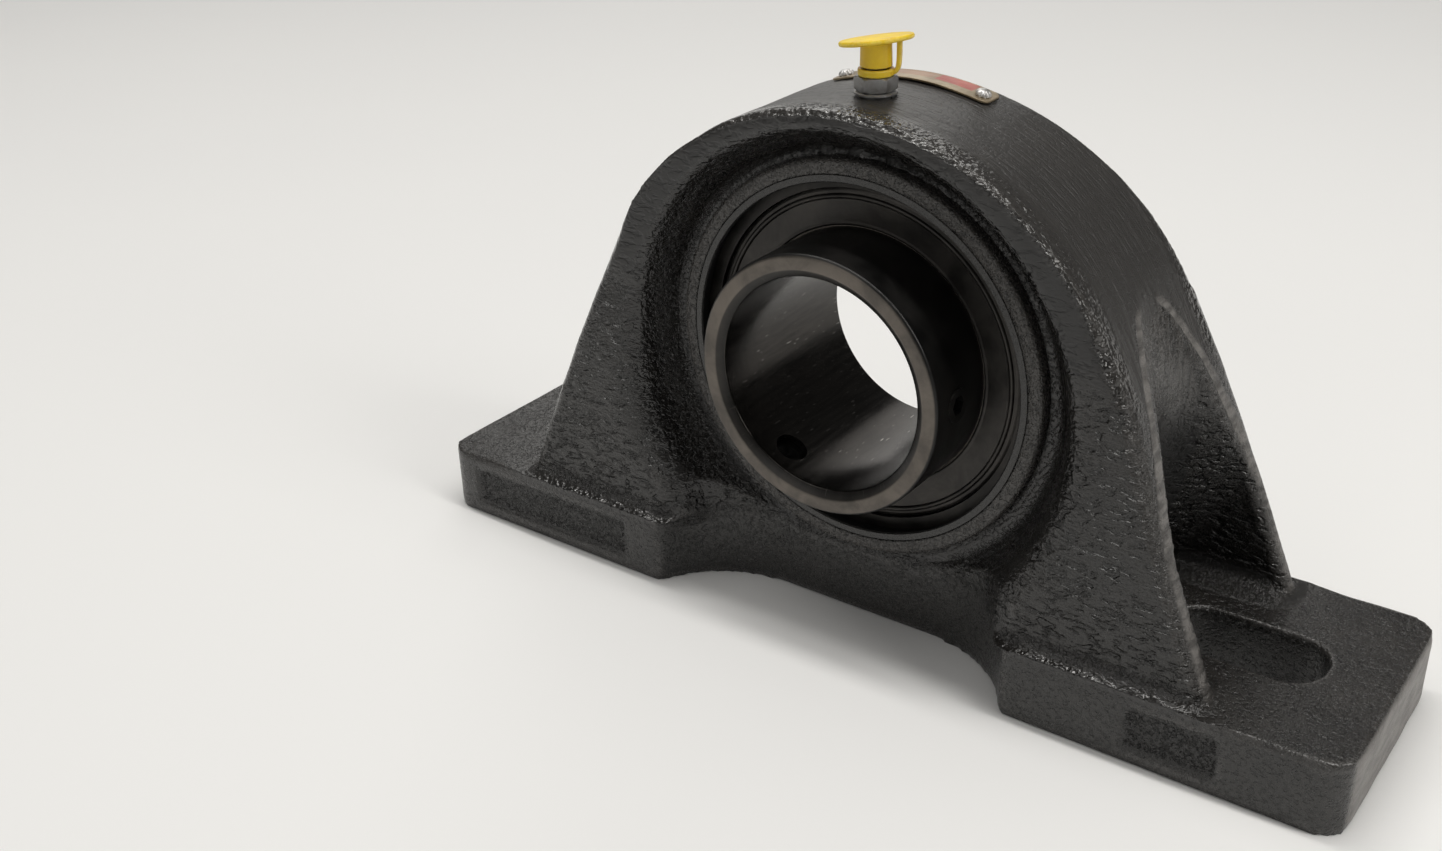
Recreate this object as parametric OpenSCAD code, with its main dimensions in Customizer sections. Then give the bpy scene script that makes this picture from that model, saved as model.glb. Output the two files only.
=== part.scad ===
// Pillow block bearing: a cast housing with a self-aligning ball insert.
// X runs along the base, -Y is the front, Z is up. The origin is on the base, under the shaft's centre.

/* [Base] */
// Overall length of the base
base_length = 302; // [292:1:330]
// Front-to-back width of the feet
base_width = 76; // [72:1:84]
// Thickness of the feet
foot_thickness = 21.8; // [18:0.2:25]
// Radius of the feet's plan corners
foot_corner_r = 9; // [4:0.5:12]
// Front-to-back width of the waist under the hub
waist_width = 33; // [31:0.5:38]
// Distance from the middle to a foot's inner corner
waist_corner_x = 59; // [56:0.5:64]
// Radius of the hollow curve between the waist and a foot
waist_r = 35; // [28:1:40]
// Rounding of a foot's inner corners
waist_corner_r = 4; // [2:0.25:6]

/* [Bolt slots] */
// Distance between the two bolt slots' centres
bolt_spacing = 222; // [214:1:230]
// Width of a bolt slot
slot_width = 22; // [17:0.5:24]
// End-to-end length of a bolt slot
slot_length = 44; // [34:0.5:48]

/* [Arch and ribs] */
// Height of the shaft's centre above the base
centre_height = 82.9; // [80:0.1:90]
// Radius of the arch's back
arch_r = 85.5; // [84:0.5:90]
// How far the arch's own centre lies below the shaft's
arch_drop = 12.4; // [9:0.1:15]
// Distance from the middle to the outer foot of a rib
rib_foot_x = 112; // [106:0.5:120]
// Front-to-back depth of the arch and ribs
arch_depth = 57; // [54:0.5:62]
// Chamfer along a rib's outer edges
rib_chamfer = 2.5; // [1:0.25:3]
// Rounding of the arch's front edge at its top
front_crown_r = 5; // [3:0.25:8]
// Rounding of the arch's rear edge at its top
rear_crown_r = 16; // [8:0.5:18]
// How far the centre of those roundings lies below the arch's
crown_drop = 10.5; // [6:0.5:14]
// Thickness of a rib's wall
rib_wall = 5.2; // [4.5:0.1:8]
// Fillet along the foot of a rib
rib_fillet = 4; // [2:0.25:5]
// Radius of the hub's barrel between the ribs
barrel_r = 80.2; // [78:0.1:82]
// Fillet where the barrel meets a rib
barrel_fillet = 22; // [10:0.5:23]

/* [Dish and hub] */
// Front-to-back thickness of the dished web
web_depth = 30; // [27:0.5:32]
// Radius of the dish's floor
dish_r = 62.5; // [61:0.25:64]
// How far the dish's centre lies below the shaft's
dish_drop = 2.2; // [1:0.1:3]
// Fillet round the dish's floor
dish_fillet = 3; // [2:0.25:4]
// Lean of the dish's wall away from the shaft's axis
dish_lean = 29; // [20:1:40]
// Rounding of the dish's brim
brim_r = 5; // [2:0.5:7]
// Front-to-back length of the hub's lip
hub_depth = 40; // [37:0.5:44]
// Radial wall of the hub's lip at its mouth
hub_lip = 7; // [5:0.1:7.4]
// Rounding of the lip's outer edge
hub_edge_r = 1.5; // [0.5:0.25:2]
// Radius of the ring groove's section round the hub
groove_r = 1.5; // [1:0.1:2]
// Depth of the ring groove below the web
groove_depth = 0.5; // [0.2:0.1:0.7]

/* [Foot panels] */
// Length of the left foot's sunk panel
left_panel_length = 64; // [40:1:68]
// Length of the right foot's sunk panel
right_panel_length = 25; // [15:1:40]
// Height of a sunk panel
panel_height = 12.4; // [8:0.2:13]
// Depth of a sunk panel
panel_depth = 1; // [0.4:0.1:1.5]

/* [Insert rings] */
// Shaft diameter
shaft_d = 61.91; // [58:0.01:62.5]
// Diameter of the outer ring's ball-shaped outside
insert_d = 110; // [109:0.1:111]
// Width of the outer ring
outer_ring_width = 30; // [29:0.1:32]
// Reach of the inner ring in front of the centre
ring_front = 38.4; // [36:0.1:42]
// Reach of the inner ring behind the centre
ring_rear = 22.6; // [20:0.1:26]
// Outer diameter of the inner ring
ring_d = 75.5; // [74.5:0.1:76.5]
// Radial size of the bore's end chamfers
bore_chamfer = 2.5; // [1:0.1:3]
// Chamfer of the inner ring's outer ends
ring_chamfer = 0.8; // [0.3:0.1:1.5]
// Clearance between the outer ring and its seat
seat_clearance = 0.04; // [0.02:0.01:0.08]

/* [Balls and cage] */
// Ball diameter
ball_d = 15.875; // [15:0.005:16]
// Diameter of the ball circle
pitch_d = 85; // [84.6:0.1:85.4]
// Number of balls
ball_count = 10; // [8:1:11]
// Clearance between a ball and each raceway
ball_clearance = 0.03; // [0.02:0.01:0.06]
// Width of the cage
cage_width = 19.6; // [19:0.1:20.2]
// Clearance between a ball and its cage pocket
pocket_clearance = 0.15; // [0.1:0.05:0.3]
// Radial gap between the inner ring and the cage
cage_gap = 1.6; // [0.8:0.1:2]

/* [Seals] */
// Sheet thickness of the shields and retainers
seal_sheet = 0.8; // [0.5:0.1:1]
// Thickness of the felt
felt_thickness = 2; // [1.2:0.1:2.2]
// Radius of the rolled bead on a shield
bead_r = 0.7; // [0.4:0.05:0.9]
// Running clearance of the felt on the inner ring
felt_clearance = 0.08; // [0.05:0.01:0.1]

/* [Set screws and pin] */
// Diameter of a set screw
screw_d = 9.4; // [7:0.1:10]
// Length of a set screw
screw_length = 4.8; // [4:0.1:5.2]
// Distance from the ring's front end to the screws
screw_setback = 10.8; // [8:0.1:13]
// Angle of the first screw above the horizontal
screw_angle = 1; // [-20:1:20]
// Angle between the two screws
screw_spread = 120; // [60:1:150]
// Diameter of the anti-rotation pin
pin_d = 5; // [4:0.1:6]
// How far the pin reaches into the outer ring
pin_reach = 2.2; // [1.5:0.1:2.4]
// How deep the pin sits in the housing
pin_depth = 8; // [6:0.5:9]

/* [Grease fitting] */
// Distance of the grease channel in front of the centre
lube_y = 8.6; // [7.5:0.1:9.5]
// Thread diameter of the grease fitting
fitting_thread_d = 8; // [7:0.1:8.6]
// Length of thread in the housing
fitting_thread = 9; // [6:0.5:9.5]
// Hexagon size across flats
hex_flats = 10; // [9.6:0.1:11]
// Hexagon height
hex_height = 4; // [3:0.1:5]
// Diameter of the thin flange under the hexagon
flange_d = 11.6; // [11:0.1:12.4]
// Diameter of the fitting's head
head_d = 6.5; // [6.3:0.1:6.7]

/* [Grease cap] */
// Outer diameter of the cap's cup
cup_d = 8.2; // [8:0.1:9]
// Diameter of the cap's top disc
disc_d = 19.8; // [16:0.2:22]
// Thickness of the top disc
disc_thickness = 1.6; // [1.2:0.1:2.2]
// Rounding of the top disc's rim
disc_edge = 0.7; // [0.3:0.05:0.75]
// Lean of the top disc to the left
disc_lean = 10; // [0:1:12]

/* [Nameplate] */
// Length of the nameplate round the arch
plate_length = 49; // [40:1:52]
// Width of the nameplate
plate_width = 13; // [11:0.5:14]
// Thickness of the nameplate
plate_thickness = 0.9; // [0.5:0.1:1.2]
// Distance of the nameplate's middle behind the centre
plate_y = 10.5; // [10:0.5:12]
// Head diameter of a drive screw
drive_head_d = 5.4; // [4:0.1:6]

/* [Hidden] */
$fn = 96;
eps = 0.01;
far = 400;
// Base and waist
waist_y = waist_width / 2;
foot_step = base_width / 2 - waist_y;
waist_arc_x = waist_corner_x - sqrt(pow(waist_r, 2) - pow(waist_r - foot_step, 2));
waist_corner_rise = waist_r - foot_step + waist_corner_r;
waist_corner_run = sqrt(pow(waist_r + waist_corner_r, 2) - pow(waist_corner_rise, 2));
waist_corner_at = [waist_arc_x + waist_corner_run, waist_corner_r - base_width / 2];
// Arch and ribs: a rib's back is the tangent from its foot to the arch
arch_z = centre_height - arch_drop;
arch_top = arch_z + arch_r;
rib_rise = arch_z - foot_thickness;
rib_angle = acos(arch_r / norm([rib_foot_x, rib_rise])) - atan2(rib_rise, rib_foot_x);
rib_top_x = arch_r * cos(rib_angle);
rib_top_z = arch_z + arch_r * sin(rib_angle);
rib_sunk_z = foot_thickness / 2;
rib_sunk_x = rib_top_x + (rib_top_z - rib_sunk_z) * tan(rib_angle);
rib_run = (rib_top_z - rib_sunk_z) / cos(rib_angle);
pocket_half = arch_depth / 2 - rib_wall;
// Insert
seat_r = insert_d / 2 + seat_clearance;
hub_half = hub_depth / 2;
mouth_r = sqrt(pow(seat_r, 2) - pow(hub_half, 2));
hub_r = mouth_r + hub_lip;
web_half = web_depth / 2;
dish_z = centre_height - dish_drop;
groove_ring_r = hub_r + sqrt(pow(groove_r, 2) - pow(groove_r - groove_depth, 2)) - 0.7;
outer_half = outer_ring_width / 2;
ball_r = ball_d / 2;
pitch_r = pitch_d / 2;
race_r = 0.52 * ball_d;
inner_race_r = pitch_r - ball_r - ball_clearance + race_r;
outer_race_r = pitch_r + ball_r + ball_clearance - race_r;
land_r = pitch_r + 0.3 * ball_d;
seal_r = land_r + 1.8;
retainer_z = cage_width / 2 + 0.8;
felt_z = retainer_z + seal_sheet;
shield_z = felt_z + felt_thickness;
ring_r = ring_d / 2;
shield_bore_r = ring_r + 0.5;
screw_z = ring_front - screw_setback;
screw_tip_r = ring_r + 0.25 - screw_length;
slip = 0.05;
slot_clearance = 0.3;
// Grease fitting and cap, measured up from the arch's top
hex_z = 1.2;
neck_z = hex_z + hex_height;
head_z = neck_z + 2.4;
head_height = 4.6;
head_r = head_d / 2;
tip_z = head_z + head_height;
check_r = 1.3;
check_z = tip_z - 1.4;
bore_r = 1.75;
spring_wire = 0.25;
spring_r = check_r;
spring_turns = 7;
spring_z = hex_z + spring_wire + eps;
spring_top = check_z - sqrt(pow(check_r + spring_wire, 2) - pow(spring_r, 2)) - 0.03;
ring_height = 2;
cup_z = neck_z + ring_height + 0.4;
cup_bore_r = head_r + slot_clearance;
cup_top = tip_z + 0.5;
strap_x = cup_d / 2 + 1.2;
drive_reach = plate_length / 2 - 3.5;
drive_shank_r = 1.3;
drive_shank = 6;

// Points of an arc, for profiles
function arc(centre, r, from, to, steps) =
    [for (i = [0:steps]) centre + r * [cos(from + (to - from) * i / steps), sin(from + (to - from) * i / steps)]];

// Turns a shape built round +Z so that its axis runs to the front through the shaft's centre
module about_shaft() {
    translate([0, 0, centre_height]) rotate([90, 0, 0]) children();
}

module both_ends() {
    children();
    mirror([1, 0, 0]) children();
}

module front_and_back() {
    children();
    mirror([0, 1, 0]) children();
}

// Rectangle with round corners, centred
module round_rect(size, r) {
    square([size.x - 2 * r, size.y], center = true);
    square([size.x, size.y - 2 * r], center = true);
    for (sx = [-1, 1], sy = [-1, 1])
        translate([sx * (size.x / 2 - r), sy * (size.y / 2 - r)]) circle(r);
}

// Half of a round_rect, for revolving: its corners away from the axis are round
module barrel_section(r, half, edge) {
    translate([0, -half]) square([r - edge, 2 * half]);
    translate([0, edge - half]) square([r, 2 * (half - edge)]);
    for (s = [-1, 1])
        translate([r - edge, s * (half - edge)]) circle(edge);
}

// Plan of the space in front of the waist
module waist_plan() {
    translate([-waist_arc_x, -waist_y - 2 * waist_r]) square([2 * waist_arc_x, 2 * waist_r]);
    for (s = [-1, 1])
        translate([s * waist_arc_x, -waist_y - waist_r]) circle(waist_r);
}

// Cuts a foot's sharp inner corner back to where its rounding starts and ends
module waist_corner_cut() {
    share = waist_r / (waist_r + waist_corner_r);
    inner = [waist_arc_x, -waist_y - waist_r] + share * [waist_corner_run, waist_corner_rise];
    outer = [waist_corner_at.x, -base_width / 2];
    polygon([inner, outer, outer - [0, 2], [inner.x, outer.y - 2]]);
}

module base() {
    linear_extrude(foot_thickness) {
        difference() {
            round_rect([base_length, base_width], foot_corner_r);
            front_and_back() {
                waist_plan();
                both_ends() waist_corner_cut();
            }
        }
        both_ends() front_and_back() translate(waist_corner_at) circle(waist_corner_r);
    }
}

// Limits the arch's edges: wider and lower than the arch, so that the rounding fades towards the ribs
module crown_section() {
    rim = arch_r + crown_drop + 0.2;
    half = arch_depth / 2 + 0.5;
    translate([0, rear_crown_r - half]) square([rim, 2 * half - rear_crown_r - front_crown_r]);
    translate([0, -half]) square([rim - rear_crown_r, half]);
    square([rim - front_crown_r, half]);
    translate([rim - rear_crown_r, rear_crown_r - half]) circle(rear_crown_r);
    translate([rim - front_crown_r, half - front_crown_r]) circle(front_crown_r);
}

module arch_disc() {
    intersection() {
        translate([0, 0, arch_z]) rotate([90, 0, 0]) cylinder(h = arch_depth, r = arch_r, center = true);
        translate([0, 0, arch_z - crown_drop]) rotate([90, 0, 0]) rotate_extrude() crown_section();
        translate([-far / 2, -far / 2, rib_sunk_z]) cube(far);
    }
}

// Both ends' ribs in one block. Its back runs a little way into the arch, to meet it cleanly
module rib_block() {
    join = rib_angle + 3;
    join_x = arch_r * cos(join);
    join_z = arch_z + arch_r * sin(join);
    rotate([90, 0, 0]) linear_extrude(arch_depth, center = true)
        polygon([[-rib_sunk_x, rib_sunk_z], [rib_sunk_x, rib_sunk_z], [join_x, join_z], [0, arch_z],
            [-join_x, join_z]]);
}

// Chamfers the outer edges of one end's two ribs, running out on the arch
module rib_edge_cut() {
    inner = arch_depth / 2 - rib_chamfer;
    translate([rib_top_x, 0, rib_top_z]) rotate([0, 180 - rib_angle, 0])
        translate([0, 0, -arch_r / 2]) linear_extrude(arch_r / 2 + rib_run + rib_chamfer) front_and_back()
            polygon([[-2, inner - 2], [rib_chamfer + 2, arch_depth / 2 + 2], [-2, arch_depth / 2 + 2]]);
}

// Space between one end's two ribs, outside the hub's barrel
module pocket_space() {
    flat = pocket_half - barrel_fillet;
    difference() {
        translate([barrel_r / 2, -pocket_half, foot_thickness])
            cube([base_length, 2 * pocket_half, centre_height + arch_r]);
        about_shaft() rotate_extrude() difference() {
            translate([0, -pocket_half - 1]) square([barrel_r + barrel_fillet, 2 * pocket_half + 2]);
            translate([barrel_r, -flat]) square([2 * barrel_fillet, 2 * flat]);
            for (s = [-1, 1])
                translate([barrel_r + barrel_fillet, s * flat]) circle(barrel_fillet);
        }
    }
}

// Space in front of the dished web: a flat floor, a fillet, a leaning wall and a rounded brim, which
// stops a little short of lying flat so that it crosses the arch's face cleanly
module dish_space() {
    front = arch_depth / 2;
    turn = tan((90 - dish_lean) / 2);
    mouth = dish_r + (front - web_half) * tan(dish_lean);
    brim = [mouth + brim_r * turn, front - brim_r];
    last = 100;
    brim_end = brim + brim_r * [cos(last), sin(last)];
    over = front + 2 - brim_end.y;
    translate([0, 0, dish_z]) rotate([90, 0, 0]) rotate_extrude()
        polygon(concat([[0, web_half]],
            arc([dish_r - dish_fillet * turn, web_half + dish_fillet], dish_fillet, -90, -dish_lean, 6),
            arc(brim, brim_r, 180 - dish_lean, last, 6),
            [[brim_end.x + over / tan(last - 90), front + 2], [0, front + 2]]));
}

module hub_groove() {
    about_shaft() rotate_extrude()
        translate([groove_ring_r, web_half + groove_r - groove_depth]) circle(groove_r);
}

// Concave fillet bar along X, with its square corner at the origin
module fillet_bar(length, r) {
    rotate([90, 0, 90]) linear_extrude(length) difference() {
        translate([-0.5, -0.5]) square(r + 0.5);
        translate([r, r]) circle(r);
    }
}

// Fillets where one rib stands on its foot, outside and inside the pocket
module rib_fillets() {
    start = waist_corner_x + rib_fillet;
    length = rib_foot_x - rib_fillet - start;
    translate([start, arch_depth / 2, foot_thickness]) fillet_bar(length, rib_fillet);
    translate([start, pocket_half, foot_thickness]) mirror([0, 1, 0]) fillet_bar(length, rib_fillet);
}

module bolt_slot() {
    translate([bolt_spacing / 2, 0, -1]) linear_extrude(foot_thickness + 2) {
        square([slot_length - slot_width, slot_width], center = true);
        for (s = [-1, 1])
            translate([s * (slot_length - slot_width) / 2, 0]) circle(slot_width / 2);
    }
}

// Sunk panel on the front of a foot
module foot_panel(x, length) {
    translate([x - length / 2, -base_width / 2 - 1, (foot_thickness - panel_height) / 2])
        cube([length, 1 + panel_depth, panel_height]);
}

// Rear notches that let the ring in edge-on before it is turned square
module loading_slots() {
    intersection() {
        about_shaft() translate([0, 0, -hub_half - 1]) cylinder(h = hub_half + 1, r = seat_r);
        translate([-far / 2, 0, centre_height - outer_half - slot_clearance])
            cube([far, far, 2 * (outer_half + slot_clearance)]);
    }
}

// Moves to a drive screw's place, square to the arch
module at_drive_screw(side) {
    translate([0, plate_y, arch_z]) rotate([0, side * asin(drive_reach / arch_r), 0])
        translate([0, 0, arch_r]) children();
}

module housing() color("#2c2a28") difference() {
    union() {
        difference() {
            union() {
                arch_disc();
                rib_block();
            }
            both_ends() rib_edge_cut();
            both_ends() pocket_space();
            front_and_back() dish_space();
            front_and_back() linear_extrude(centre_height) waist_plan();
            front_and_back() hub_groove();
        }
        base();
        both_ends() front_and_back() rib_fillets();
        about_shaft() rotate_extrude() barrel_section(hub_r, hub_half, hub_edge_r);
    }
    about_shaft() sphere(seat_r);
    loading_slots();
    both_ends() bolt_slot();
    foot_panel((waist_corner_x + base_length / 2 - foot_corner_r) / -2 - 4, left_panel_length);
    foot_panel((waist_corner_x + base_length / 2 - foot_corner_r) / 2 + 6, right_panel_length);
    translate([0, 0, centre_height]) cylinder(h = seat_r + pin_depth, r = pin_d / 2 + slip);
    translate([0, -lube_y, arch_top - fitting_thread - 0.5])
        cylinder(h = fitting_thread + 2, r = fitting_thread_d / 2 + slip);
    translate([0, -lube_y, centre_height]) cylinder(h = arch_top - centre_height - 1, r = 2);
    for (side = [-1, 1])
        at_drive_screw(side) translate([0, 0, -drive_shank]) cylinder(h = far, r = drive_shank_r + slip);
}

module outer_ring() color("#5a5854") difference() {
    intersection() {
        about_shaft() sphere(insert_d / 2);
        about_shaft() cylinder(h = outer_ring_width, r = insert_d, center = true);
    }
    about_shaft() {
        cylinder(h = far, r = land_r, center = true);
        rotate_extrude() translate([outer_race_r, 0]) circle(race_r);
        for (s = [0, 1])
            mirror([0, 0, s]) translate([0, 0, retainer_z]) cylinder(h = outer_half, r = seal_r + slip);
        // Grease groove round the outside and the holes that lead in from it
        rotate_extrude() translate([sqrt(pow(insert_d / 2, 2) - pow(lube_y, 2)), lube_y]) circle(1.3);
        for (a = [30, 150, 270])
            rotate([0, 0, a]) translate([0, 0, lube_y]) rotate([0, 90, 0]) cylinder(h = insert_d, r = 1.1);
    }
    // Slot for the pin, long enough for the ring to tilt
    translate([0, 0, centre_height + seat_r - pin_reach - 0.5]) linear_extrude(insert_d)
        round_rect([pin_d + 2 * slot_clearance, pin_d + 8], pin_d / 2);
}

module inner_ring() color("#3b3632") difference() {
    about_shaft() rotate_extrude()
        polygon([[shaft_d / 2, bore_chamfer * 0.7 - ring_rear], [shaft_d / 2 + bore_chamfer, -ring_rear],
            [ring_r - ring_chamfer, -ring_rear], [ring_r, ring_chamfer - ring_rear],
            [ring_r, ring_front - ring_chamfer], [ring_r - ring_chamfer, ring_front],
            [shaft_d / 2 + bore_chamfer, ring_front], [shaft_d / 2, ring_front - bore_chamfer * 0.7]]);
    about_shaft() {
        rotate_extrude() translate([inner_race_r, 0]) circle(race_r);
        for (a = [screw_angle, screw_angle - screw_spread])
            rotate([0, 0, a]) translate([0, 0, screw_z]) rotate([0, 90, 0])
                cylinder(h = ring_d, r = screw_d / 2 + slip);
    }
}

module balls() color("#b9bab8") about_shaft()
    for (i = [0:ball_count - 1])
        rotate([0, 0, 360 * i / ball_count]) translate([pitch_r, 0, 0]) sphere(ball_r);

module cage() color("#b08a3c") about_shaft() difference() {
    cylinder(h = cage_width, r = land_r - slot_clearance, center = true);
    cylinder(h = far, r = ring_r + cage_gap, center = true);
    for (i = [0:ball_count - 1])
        rotate([0, 0, 360 * i / ball_count]) translate([pitch_r - ball_r, 0, 0]) rotate([0, 90, 0])
            cylinder(h = ball_d, r = ball_r + pocket_clearance);
}

// Shield: a flat ring with a rolled bead near its rim
module seal_shield() color("#4a4642") rotate_extrude() {
    translate([shield_bore_r, shield_z]) square([seal_r - shield_bore_r, seal_sheet]);
    translate([land_r - bead_r, shield_z + seal_sheet]) intersection() {
        circle(bead_r);
        translate([-bead_r, -seal_sheet / 2]) square(2 * bead_r);
    }
}

module felt_seal() color("#8d8a80") rotate_extrude()
    translate([ring_r + felt_clearance, felt_z]) square([land_r - ring_r - felt_clearance, felt_thickness]);

module seal_retainer() color("#75736e") rotate_extrude()
    translate([shield_bore_r, retainer_z]) square([seal_r - shield_bore_r, seal_sheet]);

module front_seal_shield() about_shaft() seal_shield();
module front_felt_seal() about_shaft() felt_seal();
module front_seal_retainer() about_shaft() seal_retainer();
module rear_seal_shield() about_shaft() mirror([0, 0, 1]) seal_shield();
module rear_felt_seal() about_shaft() mirror([0, 0, 1]) felt_seal();
module rear_seal_retainer() about_shaft() mirror([0, 0, 1]) seal_retainer();

// Set screw with a hexagon socket outside and a cup point inside
module set_screw(angle) color("#26241f") about_shaft()
    rotate([0, 0, angle]) translate([screw_tip_r, 0, screw_z]) rotate([0, 90, 0]) difference() {
        cylinder(h = screw_length, r = screw_d / 2);
        translate([0, 0, screw_length - 2.6]) cylinder(h = screw_length, r = 0.3 * screw_d, $fn = 6);
        translate([0, 0, -eps]) cylinder(h = 1.2, r1 = 0.32 * screw_d, r2 = 0.1);
    }

module right_set_screw() set_screw(screw_angle);
module lower_set_screw() set_screw(screw_angle - screw_spread);

module lock_pin() color("#8f9092")
    translate([0, 0, centre_height + seat_r - pin_reach]) cylinder(h = pin_reach + pin_depth - slip, r = pin_d / 2);

// Moves to the grease fitting's seat on the arch
module at_fitting() {
    translate([0, -lube_y, arch_top]) children();
}

// The fitting's hexagon, with its corners chamfered at both ends
module hexagon() {
    corner_r = hex_flats / sqrt(3);
    flat_r = hex_flats / 2 + 0.1;
    intersection() {
        translate([0, 0, hex_z]) cylinder(h = hex_height, r = corner_r, $fn = 6);
        rotate_extrude() polygon([[0, hex_z - 1], [flat_r - 1, hex_z - 0.6], [corner_r + 0.3, hex_z + 0.6],
            [corner_r + 0.3, neck_z - 0.6], [flat_r - 1, neck_z + 0.6], [0, neck_z + 1]]);
    }
}

module grease_fitting() color("#8a8781") at_fitting() difference() {
    union() {
        translate([0, 0, -fitting_thread]) cylinder(h = fitting_thread + hex_z + eps, r = fitting_thread_d / 2);
        translate([0, 0, hex_z - 0.7]) cylinder(h = 0.6, r = flange_d / 2);
        translate([0, 0, hex_z - 0.5]) cylinder(h = 1, r = hex_flats / 2 - 0.3);
        hexagon();
        translate([0, 0, neck_z - eps]) cylinder(h = head_height, r = head_r - 0.7);
        translate([0, 0, head_z]) cylinder(h = 0.8, r1 = head_r - 0.7, r2 = head_r);
        translate([0, 0, head_z + 0.8]) cylinder(h = 1.8, r = head_r);
        translate([0, 0, head_z + 2.6]) cylinder(h = head_height - 2.6, r1 = head_r, r2 = 1.9);
    }
    translate([0, 0, -far / 2]) cylinder(h = far, r = 1);
    translate([0, 0, hex_z]) cylinder(h = check_z - hex_z, r = bore_r);
    translate([0, 0, check_z]) sphere(check_r + 0.03);
}

module fitting_check_ball() color("#c4c5c6") at_fitting() translate([0, 0, check_z]) sphere(check_r);

// Spring under the check ball: a round wire swept along a helix
module fitting_spring() color("#a9aaab") at_fitting() {
    sides = 8;
    rings = spring_turns * 12;
    points = [for (i = [0:rings]) let (a = 360 * spring_turns * i / rings,
            z = spring_z + (spring_top - spring_z) * i / rings)
        for (j = [0:sides - 1]) let (b = 360 * j / sides, r = spring_r + spring_wire * cos(b))
            [r * cos(a), r * sin(a), z + spring_wire * sin(b)]];
    skin = [for (i = [0:rings - 1], j = [0:sides - 1]) let (k = (j + 1) % sides)
        [i * sides + j, (i + 1) * sides + j, (i + 1) * sides + k, i * sides + k]];
    ends = [[for (j = [0:sides - 1]) j], [for (j = [sides - 1:-1:0]) rings * sides + j]];
    polyhedron(points, concat(skin, ends));
}

// Cap in one moulding: a neck ring, a strap, a cup over the head and a leaning disc
module grease_cap() color("#e8c81e") at_fitting() difference() {
    union() {
        translate([0, 0, neck_z + 0.1]) cylinder(h = ring_height - 0.1, r = cup_d / 2 + 0.7);
        translate([0, 0, cup_z]) cylinder(h = cup_top + disc_thickness / 2 - cup_z, r = cup_d / 2);
        translate([0, 0, cup_top + disc_thickness]) rotate([-4, -disc_lean, 0])
            rotate_extrude() barrel_section(disc_d / 2, disc_thickness / 2, disc_edge);
        rotate([0, 0, 20]) {
            translate([cup_d / 2 - 0.6, -1.2, neck_z + 0.3]) cube([strap_x + 1.2 - cup_d / 2, 2.4, 1.4]);
            translate([strap_x, -1.2, neck_z + 0.3]) cube([1.4, 2.4, cup_top + disc_thickness - neck_z]);
        }
    }
    translate([0, 0, neck_z - 1]) cylinder(h = cup_top - neck_z + 1, r = cup_bore_r);
}

// Curved plate that follows the arch's back
module nameplate() color("#b59a63") difference() {
    intersection() {
        translate([0, plate_y, 0]) linear_extrude(far) round_rect([plate_length, plate_width], 3);
        translate([0, 0, arch_z]) rotate([90, 0, 0]) difference() {
            cylinder(h = far, r = arch_r + plate_thickness, center = true);
            cylinder(h = far, r = arch_r, center = true);
        }
    }
    for (side = [-1, 1])
        at_drive_screw(side) cylinder(h = far, r = drive_shank_r + slip, center = true);
}

// Drive screw with a domed head
module drive_screw(side) color("#d4d4d2") at_drive_screw(side) {
    head_r = drive_head_d / 2;
    crown = 1.9;
    cap_r = (pow(head_r, 2) + pow(crown, 2)) / (2 * crown);
    translate([0, 0, 0.2 - drive_shank]) cylinder(h = drive_shank + plate_thickness, r = drive_shank_r);
    translate([0, 0, plate_thickness + 0.02]) intersection() {
        cylinder(h = crown, r = head_r);
        translate([0, 0, crown - cap_r]) sphere(cap_r);
    }
}

module left_drive_screw() drive_screw(-1);
module right_drive_screw() drive_screw(1);

housing();
outer_ring();
inner_ring();
balls();
cage();
front_seal_shield();
front_felt_seal();
front_seal_retainer();
rear_seal_shield();
rear_felt_seal();
rear_seal_retainer();
right_set_screw();
lower_set_screw();
lock_pin();
grease_fitting();
fitting_check_ball();
fitting_spring();
grease_cap();
nameplate();
left_drive_screw();
right_drive_screw();
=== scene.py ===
import bmesh
import bpy
import numpy as np
from mathutils import Matrix, Vector


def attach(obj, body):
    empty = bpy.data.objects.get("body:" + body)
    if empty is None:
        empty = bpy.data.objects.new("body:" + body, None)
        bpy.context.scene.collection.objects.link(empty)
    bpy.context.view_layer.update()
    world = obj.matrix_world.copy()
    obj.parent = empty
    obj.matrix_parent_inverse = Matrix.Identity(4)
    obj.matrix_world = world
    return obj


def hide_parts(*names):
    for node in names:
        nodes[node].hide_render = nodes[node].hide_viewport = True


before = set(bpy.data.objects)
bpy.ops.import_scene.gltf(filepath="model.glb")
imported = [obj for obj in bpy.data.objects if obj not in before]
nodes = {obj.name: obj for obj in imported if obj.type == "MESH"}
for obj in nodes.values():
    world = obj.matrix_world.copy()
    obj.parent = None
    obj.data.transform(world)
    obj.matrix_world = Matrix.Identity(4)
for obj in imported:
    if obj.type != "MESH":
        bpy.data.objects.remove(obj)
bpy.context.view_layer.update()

scene = bpy.context.scene
mm = 0.001
xAxis, yAxis, zAxis = np.eye(3)

# Shared places of the casting and the insert, in millimetres
block = {
    "shaft": np.array([0.0, 0.0, 82.9]),      # centre of the ball-shaped seat
    "archZ": 70.5, "archR": 85.5,             # back of the arch
    "archTop": 156.0, "fittingY": -8.6,
    "footTop": 21.8, "footHalfX": 151.0, "footHalfY": 38.0,
    "ribFootX": 112.0, "ribAngle": np.radians(22.07), "ribInner": 23.3,
    "seatR": 55.04, "hubHalf": 20.0, "hubR": 58.28,
    "barrelR": 80.2, "barrelFillet": 22.0,    # hollow between the ribs
}
fittingAt = np.array([0.0, block["fittingY"], block["archTop"]])


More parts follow.
